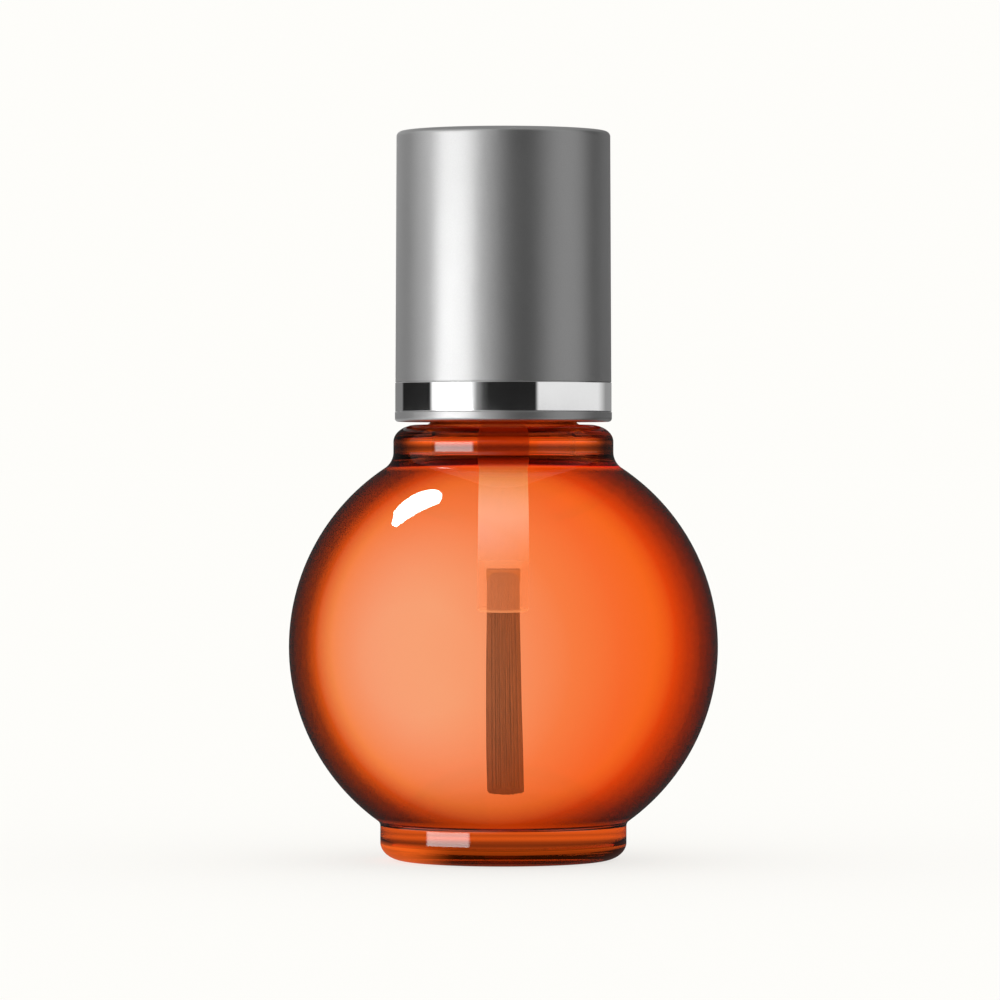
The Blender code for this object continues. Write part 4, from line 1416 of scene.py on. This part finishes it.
def light_world(stage):
    """An even white room for matt surfaces, and the studio's panels for what reflects them."""
    world = bpy.data.worlds.new("studio")
    bpy.context.scene.world = world
    world.use_nodes = True
    world.cycles.sampling_method = "NONE"
    tree = world.node_tree
    path = add_node(tree, "ShaderNodeLightPath")
    way = add_node(tree, "ShaderNodeTexCoord").outputs["Generated"]
    parts = add_node(tree, "ShaderNodeSeparateXYZ", {0: way})
    back = math_of(tree, "MULTIPLY", parts.outputs["Y"], -1.0)
    compass = math_of(tree, "ARCTAN2", parts.outputs["X"], back)
    turn = math_of(tree, "ADD", math_of(tree, "DIVIDE", compass, FULL_TURN), 0.5)
    rise = math_of(tree, "DIVIDE", math_of(tree, "ARCSINE", parts.outputs["Z"]), math.pi)
    tilt = math_of(tree, "ADD", rise, 0.5)
    elevation = math_of(tree, "MULTIPLY", rise, 180.0)
    panels = by_compass(tree, turn, SATIN_PANELS, "EASE")
    mirror = by_compass(tree, turn, MIRROR_PANELS, "LINEAR")
    walls = by_compass(tree, turn, WALL_PANELS, "LINEAR")
    for levels, seen in ((MIRROR_LEVELS, mirror), (COLLAR_LEVELS, walls), (FOOT_LEVELS, walls)):
        panels = blend_of(tree, band_mask(tree, elevation, levels, LEVEL_FADE), panels, seen)
    overhead = OVERHEAD_LIGHT / PANEL_LIGHT
    reach = ramp_of(tree, tilt, PANEL_HEIGHTS, "EASE")
    metal = blend_of(tree, reach, opaque((overhead, overhead, overhead)), panels)
    metal = blend_of(tree, 1.0, metal, opaque((PANEL_LIGHT, PANEL_LIGHT, PANEL_LIGHT)), "MULTIPLY")
    softbox = cone_mask(tree, way, SOFTBOX_AXIS, SOFTBOX_ANGLE)
    for axis, angle in SOFTBOX_FLAGS:
        softbox = math_of(tree, "MULTIPLY", softbox, cone_mask(tree, way, axis, angle))
    outside = math_of(tree, "SUBTRACT", 1.0, path.outputs["Transmission Depth"], clamp=True)
    lamp = math_of(tree, "MULTIPLY", math_of(tree, "MULTIPLY", softbox, SOFTBOX_LIGHT), outside)
    gloss = math_of(tree, "ADD", lamp, DARK_LIGHT)
    for_metal = blend_of(tree, path.outputs["Is Glossy Ray"], opaque((1.0, 1.0, 1.0)), metal)
    for_gloss = blend_of(tree, path.outputs["Is Singular Ray"], for_metal, gloss)
    behind = ramp_of(tree, tilt, BEHIND_HEIGHTS, "EASE")
    behind = blend_of(tree, 1.0, behind, opaque(stage.backdrop), "MULTIPLY")
    for_glass = blend_of(tree, path.outputs["Is Transmission Ray"], for_gloss, behind)
    for_camera = blend_of(tree, path.outputs["Is Camera Ray"], for_glass, opaque(stage.backdrop))
    tree.links.new(for_camera, tree.nodes["Background"].inputs["Color"])


def add_camera(stage):
    """The picture's camera: level with the glass's collar, tilted down a little."""
    camera = bpy.data.cameras.new("camera")
    camera.lens = stage.lens
    camera.sensor_width = SENSOR_WIDTH
    camera.clip_start, camera.clip_end = CAMERA_REACH
    pixels_per_radian = stage.lens / SENSOR_WIDTH * PICTURE_WIDTH
    aside = (PICTURE_AXIS_X - PICTURE_CENTRE) / pixels_per_radian * stage.distance
    tilt = math.atan((PICTURE_CENTRE - PICTURE_EYE_LEVEL_Y) / pixels_per_radian)
    item = bpy.data.objects.new("camera", camera)
    item.location = (-aside, -stage.distance, stage.eye_height)
    item.rotation_euler = (math.pi / 2 - tilt, 0, 0)
    bpy.context.scene.collection.objects.link(item)
    bpy.context.scene.camera = item


STEPS = (MakeGlass, PourOil, MakeShell, MakeBand, MakeInsert, MakeLiner, MakeStem, MakeBrush, SetStage)


class BottlePanel(bpy.types.Panel):
    """The steps of the bottle in the sidebar."""

    bl_idname = "OIL_BOTTLE_PT_steps"
    bl_label = "Cuticle oil bottle"
    bl_space_type = "VIEW_3D"
    bl_region_type = "UI"
    bl_category = "Oil bottle"

    def draw(self, context):
        for step in STEPS:
            self.layout.operator(step.bl_idname)


SETTINGS = {
    "bottle_glass": GlassSizes,
    "bottle_thread": ThreadSizes,
    "bottle_oil": OilSizes,
    "bottle_cap": CapSizes,
    "bottle_brush": BrushSizes,
    "bottle_colours": FinishColours,
    "bottle_stage": StageSettings,
}


def register():
    for group in SETTINGS.values():
        bpy.utils.register_class(group)
    for name, group in SETTINGS.items():
        setattr(bpy.types.Scene, name, bpy.props.PointerProperty(type=group))
    for step in STEPS:
        bpy.utils.register_class(step)
    bpy.utils.register_class(BottlePanel)


def unregister():
    bpy.utils.unregister_class(BottlePanel)
    for step in reversed(STEPS):
        bpy.utils.unregister_class(step)
    for name in SETTINGS:
        delattr(bpy.types.Scene, name)
    for group in reversed(list(SETTINGS.values())):
        bpy.utils.unregister_class(group)


def main():
    register()
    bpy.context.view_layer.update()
    bpy.ops.oil_bottle.glass()
    bpy.ops.oil_bottle.oil()
    bpy.ops.oil_bottle.shell()
    bpy.ops.oil_bottle.band()
    bpy.ops.oil_bottle.insert()
    bpy.ops.oil_bottle.liner()
    bpy.ops.oil_bottle.stem()
    bpy.ops.oil_bottle.brush()
    bpy.ops.oil_bottle.stage()


if __name__ == "__main__":
    main()
